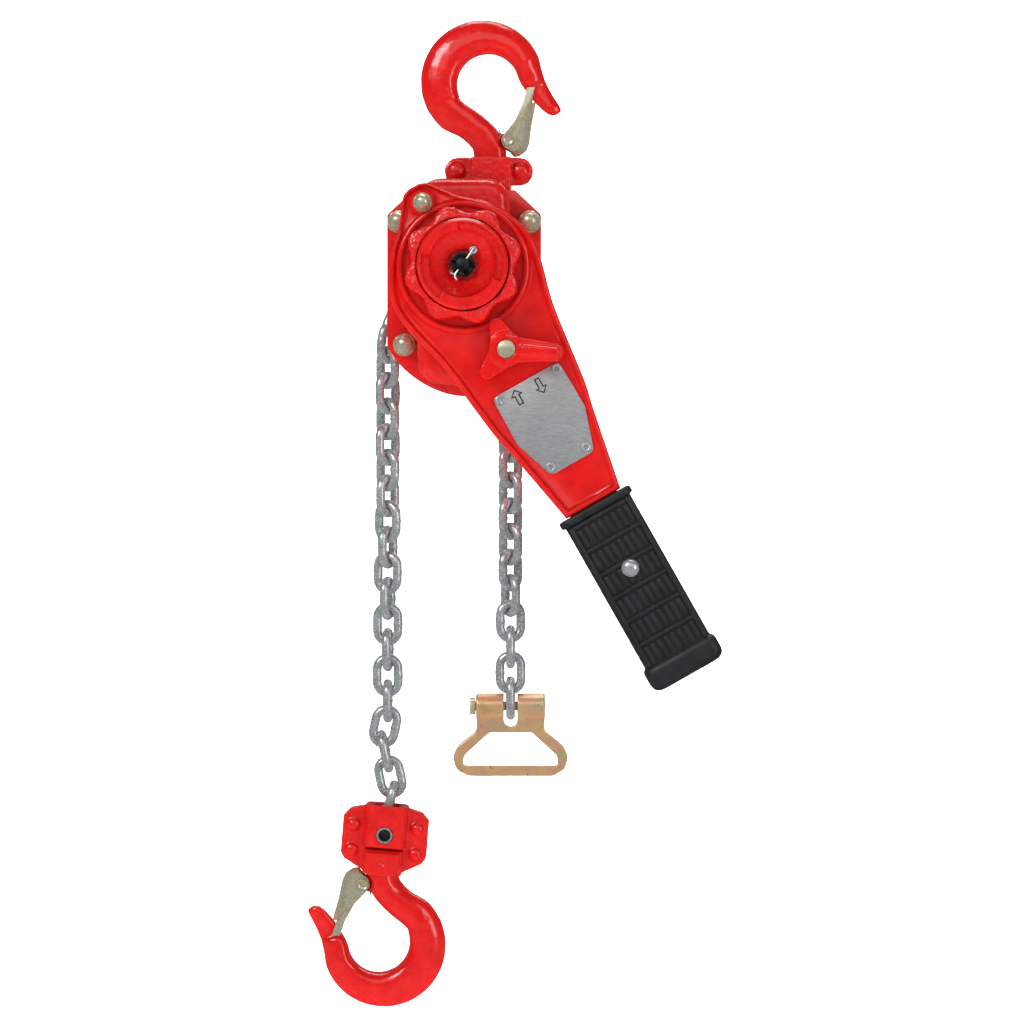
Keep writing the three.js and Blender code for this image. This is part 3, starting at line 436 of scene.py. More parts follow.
FINISH = {
    "enamel": material(
        "red_enamel_smooth", RED_STOPS, 0, (0.16, 0.26), [(90, 0.25, 0.5), (700, 0.12, 0.1)],
        Coat_Weight=0.3, Coat_Roughness=0.06),
    "cast": material(
        "red_enamel_cast", RED_STOPS, 0, (0.18, 0.3), [(260, 0.55, 0.7), (900, 0.3, 0.2)],
        Coat_Weight=0.3, Coat_Roughness=0.08),
    "rough": material(
        "red_enamel_rough", RED_STOPS, 0, (0.16, 0.28), [(330, 0.9, 1.1), (900, 0.35, 0.25)],
        Coat_Weight=0.4, Coat_Roughness=0.08),
    "forged": material(
        "red_enamel_forged", RED_STOPS, 0, (0.16, 0.28), [(140, 0.35, 0.6), (600, 0.2, 0.15)],
        Coat_Weight=0.3, Coat_Roughness=0.07),
    "zinc": material(
        "chain_zinc", ZINC_STOPS, 0.62, (0.18, 0.34), [(420, 0.35, 0.25), (1500, 0.25, 0.08)],
        patch=260),
    "yellow": material(
        "yellow_zinc", YELLOW_STOPS, 0.6, (0.2, 0.36), [(300, 0.15, 0.15), (1400, 0.15, 0.05)],
        patch=170),
    "gold": material(
        "gold_zinc", GOLD_STOPS, 0.55, (0.26, 0.42), [(260, 0.2, 0.2), (1300, 0.25, 0.06)],
        patch=70),
    "steel": material(
        "machined_steel", STEEL_STOPS, 1, (0.25, 0.45), [(900, 0.15, 0.05)], patch=200),
    "black": material("black_oxide", BLACK_STOPS, 0.7, (0.35, 0.5), [(800, 0.3, 0.1)], patch=300),
    "rubber": material(
        "black_rubber", RUBBER_STOPS, 0, (0.42, 0.6), [(500, 0.2, 0.15), (2600, 0.3, 0.05)],
        patch=150),
    "lining": material(
        "friction_lining", LINING_STOPS, 0, (0.7, 0.9), [(1200, 0.5, 0.2)], patch=900),
    "brushed": material(
        "brushed_plate", BRUSHED_STOPS, 0.65, (0.3, 0.48), [(500, 0.35, 0.08)],
        patch=300, stretch=(1, 1, 7)),
}

# ---------------------------------------------------------------- hooks
BOWL = (-1.5, -19, 19)  # (x, z, radius) of the inside of the hook
BACK = (-5, -17, 38)  # and of its outside
LATCH_PIVOT = (10.7, -53.8)


def on_circle(where, degrees):
    x, z, radius = where
    return x + radius * math.cos(math.radians(degrees)), z + radius * math.sin(math.radians(degrees))


def hook_shape():
    """Inner point, outer point and thickness at each station, from the neck to the tip."""
    stations = [
        (10.2, -66, -10.2, -66, 19), (9.6, -60, -10.6, -61, 20), (8.5, -54.5, -11.8, -57.5, 20),
        (3.2, -45.6, -18.5, -51.4, 19), (-6, -37.2, -30, -45.5, 18),
    ]
    stations += [
        (*on_circle(BOWL, d), *on_circle(BACK, d), 17) for d in (212 - 12.4 * i for i in range(16))
    ]
    stations += [
        (17.4, -15.6, 31.4, -9, 14.4), (20.2, -20.6, 33.4, -15.4, 12.6), (21.7, -22.6, 34.4, -17.8, 8),
        (24.6, -26.6, 36.6, -22.2, 7.4), (28.4, -31, 39.2, -26.8, 7.4), (33.4, -35.6, 42, -31, 7.4),
        (37.2, -37.6, 43.4, -33.8, 6),
    ]
    rows = []
    sides = 32
    for xi, zi, xo, zo, thick in curve_through(stations, 6, closed=False):
        row = []
        for k in range(sides):
            t = 2 * math.pi * k / sides
            across = math.cos(t) + 0.26 * math.sin(t) ** 2
            depth = math.copysign(abs(math.sin(t)) ** 0.92, math.sin(t))
            u = (1 - across) / 2
            row.append((xi + (xo - xi) * u, depth * thick / 2, zi + (zo - zi) * u))
        rows.append(row)
    end = rows[-1]
    middle = sum((Vector(p) for p in end), Vector()) / sides
    for grow, ahead in ((0.8, 0.9), (0.45, 1.5)):
        way = Vector((0.8, 0, -0.6)) * ahead
        rows.append([tuple(middle + (Vector(p) - middle) * grow + way) for p in end])
    return tube(rows)


def turned_up(profile):
    """A lathe about Z."""
    return moved(lathe(profile), Matrix.Rotation(math.radians(90), 4, "X"))


def make_hook(prefix, place):
    x, z = LATCH_PIVOT
    shank = turned_up([(0, -74.3), (9.3, -74.3), (9.3, -70.5), (7, -70.5), (7, -62), (0, -62)])
    hook = solid(f"{prefix}_hook_forging", merged(hook_shape(), shank), place)
    lug = [(1, z - 4.6), (x + 4.6, z - 4.6), (x + 4.6, z + 4.6), (1, z + 4.6)]
    fuse(hook, soft_prism(fillet(lug, 4.4), -4, 4, 0.5))
    cut(hook, rod(6.6, 4.1, 14, x, z), rod(6.6, -14, -4.1, x, z), rod(4.7, -14, -1.5, x, z))
    dress(cast(hook, 0.62, 3, 0.35, 7), "forged", f"{prefix}_hook", smooth=60)


LATCH_CHEEK = [
    (6.4, -53.4), (8, -57.6), (11, -59.2), (13.4, -60.6), (15.8, -59.6), (17.6, -57.2),
    (19.4, -53), (20.6, -44), (21.6, -35), (25, -28), (27.5, -20.8), (22.4, -21.2), (20.2, -30),
    (15, -41.4), (8.4, -49.4),
]
LATCH_BACK = [
    (6.4, -53.4), (8, -57.6), (11.4, -60), (14.6, -63.4), (18.4, -62.4), (22.2, -59.4),
    (23.9, -55), (25.2, -44), (27.4, -33), (28.2, -26), (27.7, -20.8), (22.4, -21.2),
    (20.2, -30), (15, -41.4), (8.4, -49.4),
]
LATCH_ROOM = [
    (4, -66), (11.6, -66), (12.6, -59.4), (15.4, -57.6), (17.4, -53), (19.4, -44), (20.4, -36),
    (23, -31), (36, -27), (36, -12), (16, -12), (4, -44),
]


def make_latch(prefix, place):
    """A sheet channel with bright cheeks and a back that slopes away from them."""
    x, z = LATCH_PIVOT
    radii = [2.5, 2.5, 2, 2, 2, 2, 3, 3, 3, 3, 0.8, 0.8, 3, 4, 3]
    cheek, back = fillet(LATCH_CHEEK, radii), fillet(LATCH_BACK, radii)
    channel = stack([(cheek, -5.6), (back, -1.6), (back, 1.6), (cheek, 5.6)])
    latch = solid(f"{prefix}_latch_sheet", channel, place)
    cut(latch, prism(fillet(LATCH_ROOM, 1.2), -4.4, 4.4), rod(1.9, -9, 9, x, z))
    dress(bevel(latch, 0.35), "yellow", f"{prefix}_latch")
    head = [
        (0, 7.0), (1.2, 7.0), (1.5, 6.6), (2.4, 6.7), (3.1, 7.3), (3.4, 6.8), (3.4, 5.75),
        (1.6, 5.75),
    ]
    pin = lathe([(r, -y) for r, y in head] + head[::-1], 48)
    dress(solid(f"{prefix}_latch_rivet", shifted(pin, x, 0, z), place), "yellow", f"{prefix}_latch_pin")
    wire = [(19, -2, -45), (14.4, -2, -52)]
    for i in range(49):
        turn = math.radians(-10 - 860 * i / 48)
        wire.append((x + 3.3 * math.cos(turn), -2 - 1.9 * i / 48, z + 3.3 * math.sin(turn)))
    wire.append((5.4, -3.9, -47.2))
    spring = solid(f"{prefix}_latch_spring", sweep(wire, 0.45, 8), place)
    dress(spring, "steel", body=NODES[f"{prefix}_latch"]["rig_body"], smooth=80)


for prefix, place in (("top", HERE), ("bottom", BOTTOM_HOOK)):
    make_hook(prefix, place)
    make_latch(prefix, place)

# ---------------------------------------------------------------- yokes


def dome(radius, height, x, z, base, side, sides=32):
    """A domed rivet head that stands out from a face at y = base."""
    profile = [(radius, base - side * 0.5)]
    for i in range(7):
        a = math.pi / 2 * i / 6
        profile.append((radius * math.cos(a), base + side * height * math.sin(a)))
    profile.append((0, base - side * 0.5))
    return shifted(lathe(profile, sides), x, 0, z)


for half, side in (("front", -1), ("rear", 1)):
    outside = sorted((side * 5.03, side * 20))
    yoke = copy_of(f"top_yoke_{half}", f"top_yoke_{half}_casting")
    cut(yoke, box(-40, -12.1, *outside, -90, -60), box(12.6, 40, *outside, -90, -60))
    fuse(yoke, dome(5.4, 3.2, 18.5, -72.4, side * 5, side), dome(5.4, 3.2, -21, -72.4, side * 5, side),
         dome(3.4, 1.6, 0, -84.6, side * 12, side))
    dress(cast(yoke, 0.55, 5, 0.5, 4), "cast", f"top_yoke_{half}", smooth=60)
    yoke = copy_of(f"bottom_yoke_{half}", f"bottom_yoke_{half}_casting", BOTTOM)
    cut(yoke, box(-40, -13.1, *outside, -30, 30), box(13.1, 40, *outside, -30, 30))
    for edge in (-1, 1):
        slope = [
            (edge * 10.2, side * 12.2), (edge * 13.2, side * 8), (edge * 15, side * 8),
            (edge * 15, side * 14), (edge * 10.2, side * 14),
        ]
        cut(yoke, tube([[(x, y, z) for x, y in slope] for z in (-40, 40)]))
    heads = [dome(4.2, 2.6, x, z, side * 5, side) for x in (-19.7, 19.7) for z in (4.4, -11)]
    fuse(yoke, *heads)
    groove = box(-14, 14, *sorted((side * 11, side * 14)), -11, -7.6)
    cut(yoke, rod(1.7, side * 12.3, side * 14, 0, -17, 24), groove)
    dress(cast(yoke, 0.5, 9, 0.3, 5), "forged", f"bottom_yoke_{half}", smooth=60)

pin = lathe([
    (0, -10.6), (3.2, -10.6), (3.6, -11), (3.7, -12.2), (4.1, -12.8), (4.6, -12.8), (4.9, -12.4),
    (4.9, -9.4), (3.4, -9.4), (3.4, 11.2), (3, 11.6), (0, 11.6),
])
dress(solid("anchor_pin_ring", pin, BOTTOM), "zinc", "anchor_pin")
plug = lathe([(0, -11.9), (2.8, -11.9), (3.4, -11.5), (3.5, -10.7), (0, -10.7)], 6 * 8)
dress(solid("anchor_pin_end", plug, BOTTOM), "black", body="bottom_yoke")

# ---------------------------------------------------------------- body of the hoist
STAYS = {
    "upper_left": (-40, 31), "upper_right": (40, 31), "lower_left": (-36.5, -44),
    "lower_right": (40, -44),
}


def bezier(a, b, c, d, steps):
    return [
        tuple(
            a[k] * (1 - t) ** 3 + 3 * b[k] * t * (1 - t) ** 2 + 3 * c[k] * t * t * (1 - t)
            + d[k] * t ** 3
            for k in (0, 1)
        )
        for t in (i / steps for i in range(1, steps + 1))
    ]


PLATE = [(-47, 35.6), (-31, 50.6), (31, 50.6), (47, 35.6), (47, -44)]
PLATE += bezier((47, -44), (43, -57), (20, -74), (0, -74), 16)
PLATE += bezier((0, -74), (-20, -74), (-43, -57), (-47, -44), 16)
PLATE = anticlockwise(fillet(PLATE, 3.0, 3))


def stay_bores():
    return [rod(3.1, -60, 60, x, z, 24) for x, z in STAYS.values()]


for name, y0, y1 in (("side_plate_front", -16.5, -13), ("side_plate_rear", 13, 16.5)):
    sheet_metal = solid(f"{name}_pressing", soft_prism(PLATE, y0, y1, 0.5), BODY)
    cut(sheet_metal, rod(13.9, -60, 60), rod(5.1, -60, 60, 16, 44), *stay_bores())
    dress(sheet_metal, "enamel", name)


def brake_outline():
    """The round can joined to an upright box with rounded corners."""
    half, top, bottom, can = 28, 56, -70, 42
    meet = math.degrees(math.acos(half / can))
    points = arc(0, 0, can, meet, -meet, 24)
    points += arc(half - 12, bottom + 14, 12, 0, -90, 6) + [(0, bottom)]
    points += arc(-half + 12, bottom + 14, 12, -90, -180, 6)
    points += arc(0, 0, can, 180 + meet, 180 - meet, 24)
    points += arc(-half + 14, top - 14, 14, 180, 90, 8) + arc(half - 14, top - 14, 14, 90, 0, 8)
    return anticlockwise(points)


shoulder = [
    (0, -16.6), (0, -30), (0.3, -32.2), (1.2, -34.4), (2.6, -36.2), (4.4, -37.4), (6.4, -37.9),
    (7.4, -38),
]
cavity = [(2.2, -10), (2.2, -29), (3.2, -32.6), (6.4, -35.4), (8, -35.9)]
shell, room = (
    stack([(inset(brake_outline(), d), y) for d, y in steps]) for steps in (shoulder, cavity)
)
cover = solid("brake_cover_pressing", shell, BODY)
cut(cover, room, rod(16, -60, 0), *[rod(7.8, -60, 0, x, z) for x, z in STAYS.values()])
dress(bevel(cover, 0.4, 2, 50), "cast", "brake_cover")

can = lathe([
    (0, 48), (38.4, 48), (41, 47.5), (42.7, 46.2), (43.4, 43.6), (43.4, 20.5), (44.2, 19.2),
    (45.4, 18.8), (45.4, 16.7), (41.2, 16.7), (41.2, 45.8), (0, 45.8),
], 96)
cover = solid("gear_cover_pressing", soft_prism(PLATE, 16.6, 18.8, 0.5), BODY)
cut(cover, rod(43, 0, 60, sides=96), *stay_bores())
dress(cover, "enamel", "gear_cover")
dress(solid("gear_cover_can", can, BODY), "enamel", body="hoist_body")


def hex_points(radius, turn=0):
    return circle(radius, sides=6, start=math.radians(turn))


def dome_nut(radius, y, height, turn):
    """Hexagon with a washer face and a domed cap, standing towards the front from y."""
    washer = lathe([
        (0, y), (radius, y), (radius * 1.02, y - 0.6), (radius * 0.94, y - 1.1), (0, y - 1.1),
    ], 48)
    nut = soft_prism(fillet(hex_points(radius, turn), 1.2, 3), y - height * 0.5, y - 0.9, 0.4)
    cap = [(0, y - 1), (radius * 0.84, y - 1), (radius * 0.84, y - height * 0.5)]
    for i in range(9):
        a = math.pi / 2 * i / 8
        cap.append((radius * 0.84 * math.cos(a), y - height * (0.5 + 0.5 * math.sin(a))))
    return merged(washer, nut, lathe(cap, 48))


NUT_TURNS = {"upper_left": 12, "upper_right": 30, "lower_left": 20, "lower_right": 0}
for label, (x, z) in STAYS.items():
    nut = shifted(dome_nut(6.8, -16.6, 10.6, NUT_TURNS[label]), x, 0, z)
    dress(solid(f"stay_nut_{label}_domed", nut, BODY), "yellow", f"stay_nut_{label}")
    shank = lathe([(0, -22.5), (2.6, -22.5), (3, -22), (3, 19), (0, 19)], 32)
    head = soft_prism(fillet(hex_points(6.4, 15), 1.2, 3), 18.9, 23.4, 0.5)
    bolt = shifted(merged(shank, head), x, 0, z)
    dress(solid(f"stay_bolt_{label}_hex", bolt, BODY), "yellow", f"stay_bolt_{label}")

# ---------------------------------------------------------------- hand wheel and shaft end


def lobed(radius, angle):
    """Eight shallow lobes, fading towards the middle."""
    wave = math.cos(8 * (angle + math.radians(-17 - 90)))
    return radius + 2.3 * wave * max(0.0, (radius - 27) / 5.6)


wheel = [
    (0, -61), (29, -61), (31.4, -61.6), (33, -63), (33, -73), (32.4, -74.6), (30.8, -75.4),
    (29, -75.6), (0, -75.6),
]
rim = solid("hand_wheel_casting", lathe(wheel, 192, radius_at=lobed), BODY)
fuse(rim, rod(14.6, -61.4, -49))
cut(rim, rod(27.5, -90, -67.6), rod(4.1, -90, 0), rod(5.6, -61.4, 0))
dress(cast(rim, 0.6, 4, 1.3, 3.6), "rough", "hand_wheel", smooth=60)


def cap_height(radius, degrees):
    """The face of the cap: a raised lip, a ring with two sunk stretches, and a funnel to the nut."""
    if radius > 25.5:
        return -77.4 - 1.6 * min(1, (27 - radius) / 1.5)
    if radius > 19.6:
        sunk = 0.0
        for start, end in ((-25, 98), (166, 238)):
            turn = (degrees - start) % 360
            sunk = max(sunk, min(1, turn / 3, (end - start - turn) / 3))
        return -79 + 2.6 * sunk if radius < 24.6 else -79
    depth = (19.6 - radius) / 10.3
    return -78.4 + 8.4 * min(1, depth) ** 0.8


def cap_shape():
    radii = [27.0, 26.5, 25.6, 24.7, 24.5, 22.5, 20, 19.6, 19.2, 17.5, 15, 12.5, 10.5, 9.3]
    sides = 180
    rows = [[(27.0, -67.9)] * sides]
    rows += [[(r, cap_height(r, 360 * i / sides)) for i in range(sides)] for r in radii]
    rows.append([(9.3, -67.9)] * sides)
    turns = [2 * math.pi * i / sides for i in range(sides)]
    return tube([
        [(r * math.cos(a), y, r * math.sin(a)) for a, (r, y) in zip(turns, row)] for row in rows
    ], ring=True)


dress(solid("wheel_cap_face", cap_shape(), BODY), "cast", "wheel_cap", smooth=30)

COTTER_TURN = 53
COTTER_WIRE = 0.75
castle = soft_prism(fillet(hex_points(7.9, COTTER_TURN), 1.2, 3), -75.2, -67.9, 0.5)
nut = solid("castle_nut_hex", castle, BODY)
notch = box(-12, 12, -80, -71.6, -1.5, 1.5)
cut(nut, rod(4.1, -90, 0), *[
    moved(notch, Matrix.Rotation(math.radians(d - COTTER_TURN), 4, "Y")) for d in (0, 60, 120)
])
dress(bevel(nut, 0.25, 2), "black", "castle_nut")
turn = Matrix.Rotation(math.radians(-COTTER_TURN), 4, "Y")
legs = [
    sweep([
        (11.5, -73.9, 0.4), (5, -73.9, 0), (-7, -73.9, 0), (-8.6, -74.4, -1), (-9.4, -75.4, -3),
    ], COTTER_WIRE, 10),
    sweep([
        (11.5, -72.9, -0.4), (5, -72.9, 0), (-6.4, -72.9, 0), (-7.8, -73.4, 1), (-8.2, -74.4, 2.8),
    ], COTTER_WIRE, 10),
    sweep([
        (10.6 + 1.7 * math.cos(a), -73.4, 1.7 * math.sin(a))
        for a in (math.tau * i / 20 for i in range(20))
    ], COTTER_WIRE, 10, True),
]
dress(solid("cotter_pin_wire", moved(merged(*legs), turn), BODY), "zinc", "cotter_pin", smooth=80)
shaft = lathe([
    (0, -76.8), (3.2, -76.8), (4, -76.2), (4, -61), (5.5, -61), (5.5, 30), (3.2, 30), (3.2, 45),
    (0, 45),
])
hub = lathe([(0, -20.6), (26, -20.6), (26, -17.4), (0, -17.4)])
dress(solid("pinion_shaft_turned", merged(shaft, hub), BODY), "black", "pinion_shaft")

# ---------------------------------------------------------------- lever
LEVER_SHIFT = -2
EAR_S = -45
SELECTOR_S = 56
GRIP_RIVET_S = 205
LEVER_SIDE = [  # (distance down the lever, half width)
    (-56, 3.6), (-53.6, 8.6), (-47, 13.6), (-38, 20.7), (-30, 29.4), (-18, 38.8), (-7, 44.2),
    (4, 46.4), (20, 44.4), (38, 39.6), (54, 36.6), (94, 31.6), (113, 27.6), (161, 18.4),
]
side_curve = curve_through(LEVER_SIDE, 6, closed=False)
right_side, left_side = (
    [(LEVER_SHIFT + side * h, -s) for s, h in side_curve] for side in (1, -1)
)
LEVER_OUTLINE = anticlockwise(right_side + left_side[::-1])


def lever_layers(steps):
    """The lever's outline at several insets; the rim narrows round the ear."""
    layers = []
    for d, y in steps:
        full, slim = inset(LEVER_OUTLINE, d), inset(LEVER_OUTLINE, min(d, 0.45 * d + 0.4))
        share = [min(1, max(0, (40 - z) / 16)) for _, z in LEVER_OUTLINE]
        outline = [
            (a[0] * k + b[0] * (1 - k), a[1] * k + b[1] * (1 - k))
            for a, b, k in zip(full, slim, share)
        ]
        layers.append((outline, y))
    return stack(layers)


ear, selector_at, rivet_at = ((LEVER_SHIFT, -s) for s in (EAR_S, SELECTOR_S, GRIP_RIVET_S))


def tang(y0, y1):
    """The end of a lever half that runs down inside the grip."""
    return box(LEVER_SHIFT - 16, LEVER_SHIFT + 16, y0, y1, -262, -150)


back_steps = [(0.5, -48.8), (0, -48.4), (0, -41), (0.4, -39.8), (1.4, -38.9), (2.6, -38.6)]
back = solid("lever_back_casting", lever_layers(back_steps), LEVER)
cut(back, rod(35.4, -60, -40.6, sides=96), rod(23.2, -60, -40.6, *selector_at), rod(15.6, -60, 0),
    rod(2.3, -60, 0, *ear, 24), rod(3.1, -60, 0, *selector_at, 24))
fuse(back, tang(-48.8, -45))
dress(back, "enamel", "lever_back")
front_steps = [
    (0.5, -49.1), (0, -49.6), (0, -57.6), (0.3, -59), (1.1, -59.8), (2, -60), (2.9, -59.6),
    (3.5, -58.4), (4.2, -57.4), (5.4, -57),
]
front = solid("lever_front_casting", lever_layers(front_steps), LEVER)
boss = lathe([
    (36, -56), (36, -59), (36.8, -59.8), (38, -60), (39.2, -59.6), (40, -58.4), (40.8, -57.2),
    (42, -56.6), (42, -56),
], 120, ring=True)
ear_boss = lathe([(0, -56), (8.6, -56), (8.2, -58.2), (7.4, -59), (0, -59)])
fuse(front, boss, shifted(ear_boss, ear[0], 0, ear[1]), tang(-54, -49.2))
cut(front, rod(15.6, -70, 0), rod(2.3, -70, 0, *ear, 24), rod(3.3, -70, 0, *selector_at, 24))
dress(front, "enamel", "lever_front")
ear_nut = merged(dome_nut(5.7, -59, 9.2, 10), rod(2, -60, -38.3, sides=24))
ear_bolt = shifted(ear_nut, ear[0], 0, ear[1])
dress(solid("ear_bolt_domed", ear_bolt, LEVER), "yellow", "ear_bolt")

GRIP_Y = -49.5


def rounded_box(half_x, half_y, corner):
    """A rounded rectangle in X and Y round the grip's middle, as (x, y) points."""
    points = []
    for sx, sy, start in ((1, 1, 0), (-1, 1, 90), (-1, -1, 180), (1, -1, 270)):
        middle = (sx * (half_x - corner), GRIP_Y + sy * (half_y - corner))
        points += arc(*middle, corner, start, start + 90, 6)
    return points


def bar_along(stations):
    """A bar down the lever through (s, half width, half depth, corner) stations."""
    return tube([[(x, y, -s) for x, y in rounded_box(hx, hy, corner)] for s, hx, hy, corner in stations])


def block_on_grip(x0, x1, s0, s1, side, high):
    """A raised rubber block on a face of the grip, up to high from the grip's middle."""
    foot, edge = 8, 0.5

    def layer(d, h):
        y = GRIP_Y + side * h
        return [
            (x0 + d, y, -s0 - d), (x1 - d, y, -s0 - d), (x1 - d, y, -s1 + d), (x0 + d, y, -s1 + d),
        ]

    return tube([
        layer(0, foot), layer(0, high - edge), layer(edge * 0.3, high - edge * 0.3),
        layer(edge, high),
    ])


core = bar_along([
    (161.5, 22.6, 11.6, 5), (162, 23.7, 12.7, 5.4), (163, 24, 13, 5.6), (165, 24, 13, 5.6),
    (165.8, 23.7, 12.7, 5.4), (166.2, 22.4, 11.6, 5), (166.8, 21.8, 10.9, 5),
    (262.6, 21.8, 10.9, 5), (263.4, 22.8, 11.7, 5.2), (264.6, 23.7, 12.7, 5.6),
    (266.4, 24, 13, 5.8), (272.6, 24, 13, 5.8), (275, 23.4, 12.4, 5.8), (276.8, 22, 11, 5.4),
    (277.8, 20, 9.2, 5), (278, 18.6, 8, 4.6),
])
PANELS, PANEL_PITCH, PANEL_START = 6, 15.9, 167.4
ribs = []
for side in (-1, 1):
    for sx in (-1, 1):
        x0, x1 = sorted((sx * 17.6, sx * 20.6))
        panels_end = PANEL_START + PANELS * PANEL_PITCH - 0.8
        ribs.append(block_on_grip(x0, x1, PANEL_START, panels_end, side, 12.1))
    for p in range(PANELS):
        s0 = PANEL_START + p * PANEL_PITCH
        ribs.append(block_on_grip(-17.8, 17.8, s0, s0 + 2.2, side, 12.3))
        for r in range(8):
            x = -15.4 + r * 4.4
            bar = (x - 1.55, x + 1.55, s0 + 3.3, s0 + PANEL_PITCH - 1.1)
            ribs.append(block_on_grip(*bar, side, 12.0))
grip = solid("grip_moulding", shifted(merged(core, *ribs), LEVER_SHIFT), LEVER)
dress(grip, "rubber", "grip", smooth=45)
rivet = merged(
    dome(5.4, 3.6, *rivet_at, -61.5, -1), dome(5.4, 3.6, *rivet_at, -37.5, 1),
    rod(2.4, -62, -37, *rivet_at, 24),
)
dress(solid("grip_rivet_domed", rivet, LEVER), "zinc", "grip_rivet", smooth=50)

plate_corners = [
    (-23.6, -77), (-24.2, -108), (-15.6, -134), (13.6, -134), (22.2, -108), (21.6, -77),
]
plate = soft_prism(fillet(plate_corners, [3, 6, 4, 4, 6, 3]), -58.1, -57.1, 0.2)
dress(solid("rating_plate_sheet", plate, LEVER), "brushed", "rating_plate", smooth=30)
tubes = []
for x, z in ((-20.4, -80.2), (18.4, -80.2), (-13.4, -129.6), (10.6, -129.6)):
    ring = lathe([
        (1.3, -57.6), (1.3, -58.5), (1.8, -59.2), (2.6, -59.1), (3.1, -58.5), (3.2, -58),
    ], 32, ring=True)
    tubes.append(shifted(ring, x, 0, z))
dress(solid("rating_plate_rivets", merged(*tubes), LEVER), "zinc", body="lever", smooth=70)


def arrow(x, z, up):
    """A plain outline arrow, painted on the rating plate."""
    points = [(-1.7, -4.6), (1.7, -4.6), (1.7, 1.2), (4, 1.2), (0, 5.4), (-4, 1.2), (-1.7, 1.2)]
    outer = anticlockwise([(x + px, z + up * pz) for px, pz in points])
    inner = inset(outer, 0.75)
    low, high = -58.05, -58.16
    rows = ((outer, low), (outer, high), (inner, high), (inner, low))
    return tube([[(a, y, b) for a, b in points] for points, y in rows], ring=True)


arrows = solid("rating_plate_arrows", merged(arrow(-10, -84, 1), arrow(5, -84, -1)), LEVER)
dress(arrows, "black", body="lever")

selector = copy_of("selector", "selector_casting", LEVER)
ridge = stack([
    (fillet([(-2.6, 8), (2.6, 8), (1.8, 31), (-1.8, 31)], 1.6), -73.4),
    (fillet([(-4.4, 8), (4.4, 8), (3.6, 31.6), (-3.6, 31.6)], 1.6), -71.4),
])
fuse(selector, moved(ridge, placed(*selector_at, 123.6)))
dress(cast(selector, 0.5, 6, 0.25, 4), "forged", "selector", smooth=60)
pin = shifted(lathe([
    (0, -71), (4.9, -71), (5.3, -70.7), (5.4, -70.2), (5.4, -69.3), (2.6, -69.3), (2.6, -39.8),
    (0, -39.8),
]), selector_at[0], 0, selector_at[1])
dress(solid("selector_pin_head", pin, LEVER), "yellow", "selector_pin")


# ---------------------------------------------------------------- chain
def down(degrees):
    a = math.radians(degrees)
    return Vector((math.sin(a), 0, -math.cos(a)))


def link(centre, along, twist):
    """One link of round wire, with the swell of its weld on one side."""
    bend = (LINK_WIDTH - WIRE) / 2
    straight = (PITCH + WIRE) / 2 - bend
    half_turn = [math.pi * i / 10 for i in range(1, 10)]
    flat = []
    for side in (1, -1):
        flat += [(side * bend, side * (-straight + 2 * straight * i / 8)) for i in range(9)]
        flat += [
            (side * bend * math.cos(a), side * (straight + bend * math.sin(a))) for a in half_turn
        ]
    across_flat = Vector((-along.z, 0, along.x))
    across = across_flat * math.cos(twist) + Vector((0, math.sin(twist), 0))
    weld = {3: 0.06, 4: 0.3, 5: 0.06}  # how much thicker the wire is at these points of the path
    count = len(flat)
    path = [centre + across * u + along * v for u, v in flat]
    return sweep(path, lambda f: WIRE / 2 + weld.get(round(f * count), 0), 14, closed=True)


def twist_of(i, straight_links, twisted_links, end, turn):
    """The turn of link i, counted from the chain's lower end, as the chain twists on its way up."""
    twisted = min(1, max(0, (i - straight_links) / twisted_links))
    return math.radians(end + 90 * (i % 2) + turn * twisted)


LOAD_TILTS = [-4.75, -14, 12, 12, -12]  # degrees, from the anchor link up
LOAD_LENGTHS = (
    ("load_chain_1", 5), ("load_chain_2", 5), ("load_chain_3", 4), ("load_chain_4", 4),
    ("anchor_link", 1),
)
TAIL_LENGTHS = (("tail_chain_1", 4), ("tail_chain_2", 4), ("tail_chain_3", 4))
ANCHOR_PIN_RADIUS = 3.4
ANCHOR_SLACK = 0.35
SHEAVE_RADIUS = 25.7
LOAD_BEND_Z, TAIL_BEND_Z = -38, -60


def load_links():
    tilt = [LOAD_TILTS[i] if i < len(LOAD_TILTS) else 0 for i in range(20)]
    rise = PITCH / 2 - ANCHOR_PIN_RADIUS - ANCHOR_SLACK
    a = math.radians(BOTTOM_TILT)
    centre = Vector((ANCHOR[0] + rise * math.sin(a), 0, ANCHOR[1] + rise * math.cos(a)))
    links = []
    for i in range(19):
        links.append((centre.copy(), down(tilt[i]), twist_of(i, 6, 8, 0, -45)))
        centre = centre - down(tilt[i]) * PITCH / 2 - down(tilt[i + 1]) * PITCH / 2
    return links[::-1]


def tail_links():
    return [
        (Vector((TAIL_X, 0, TAIL_END_Z + i * PITCH)), down(0), twist_of(i, 2, 3, 90, 45))
        for i in range(12)
    ][::-1]


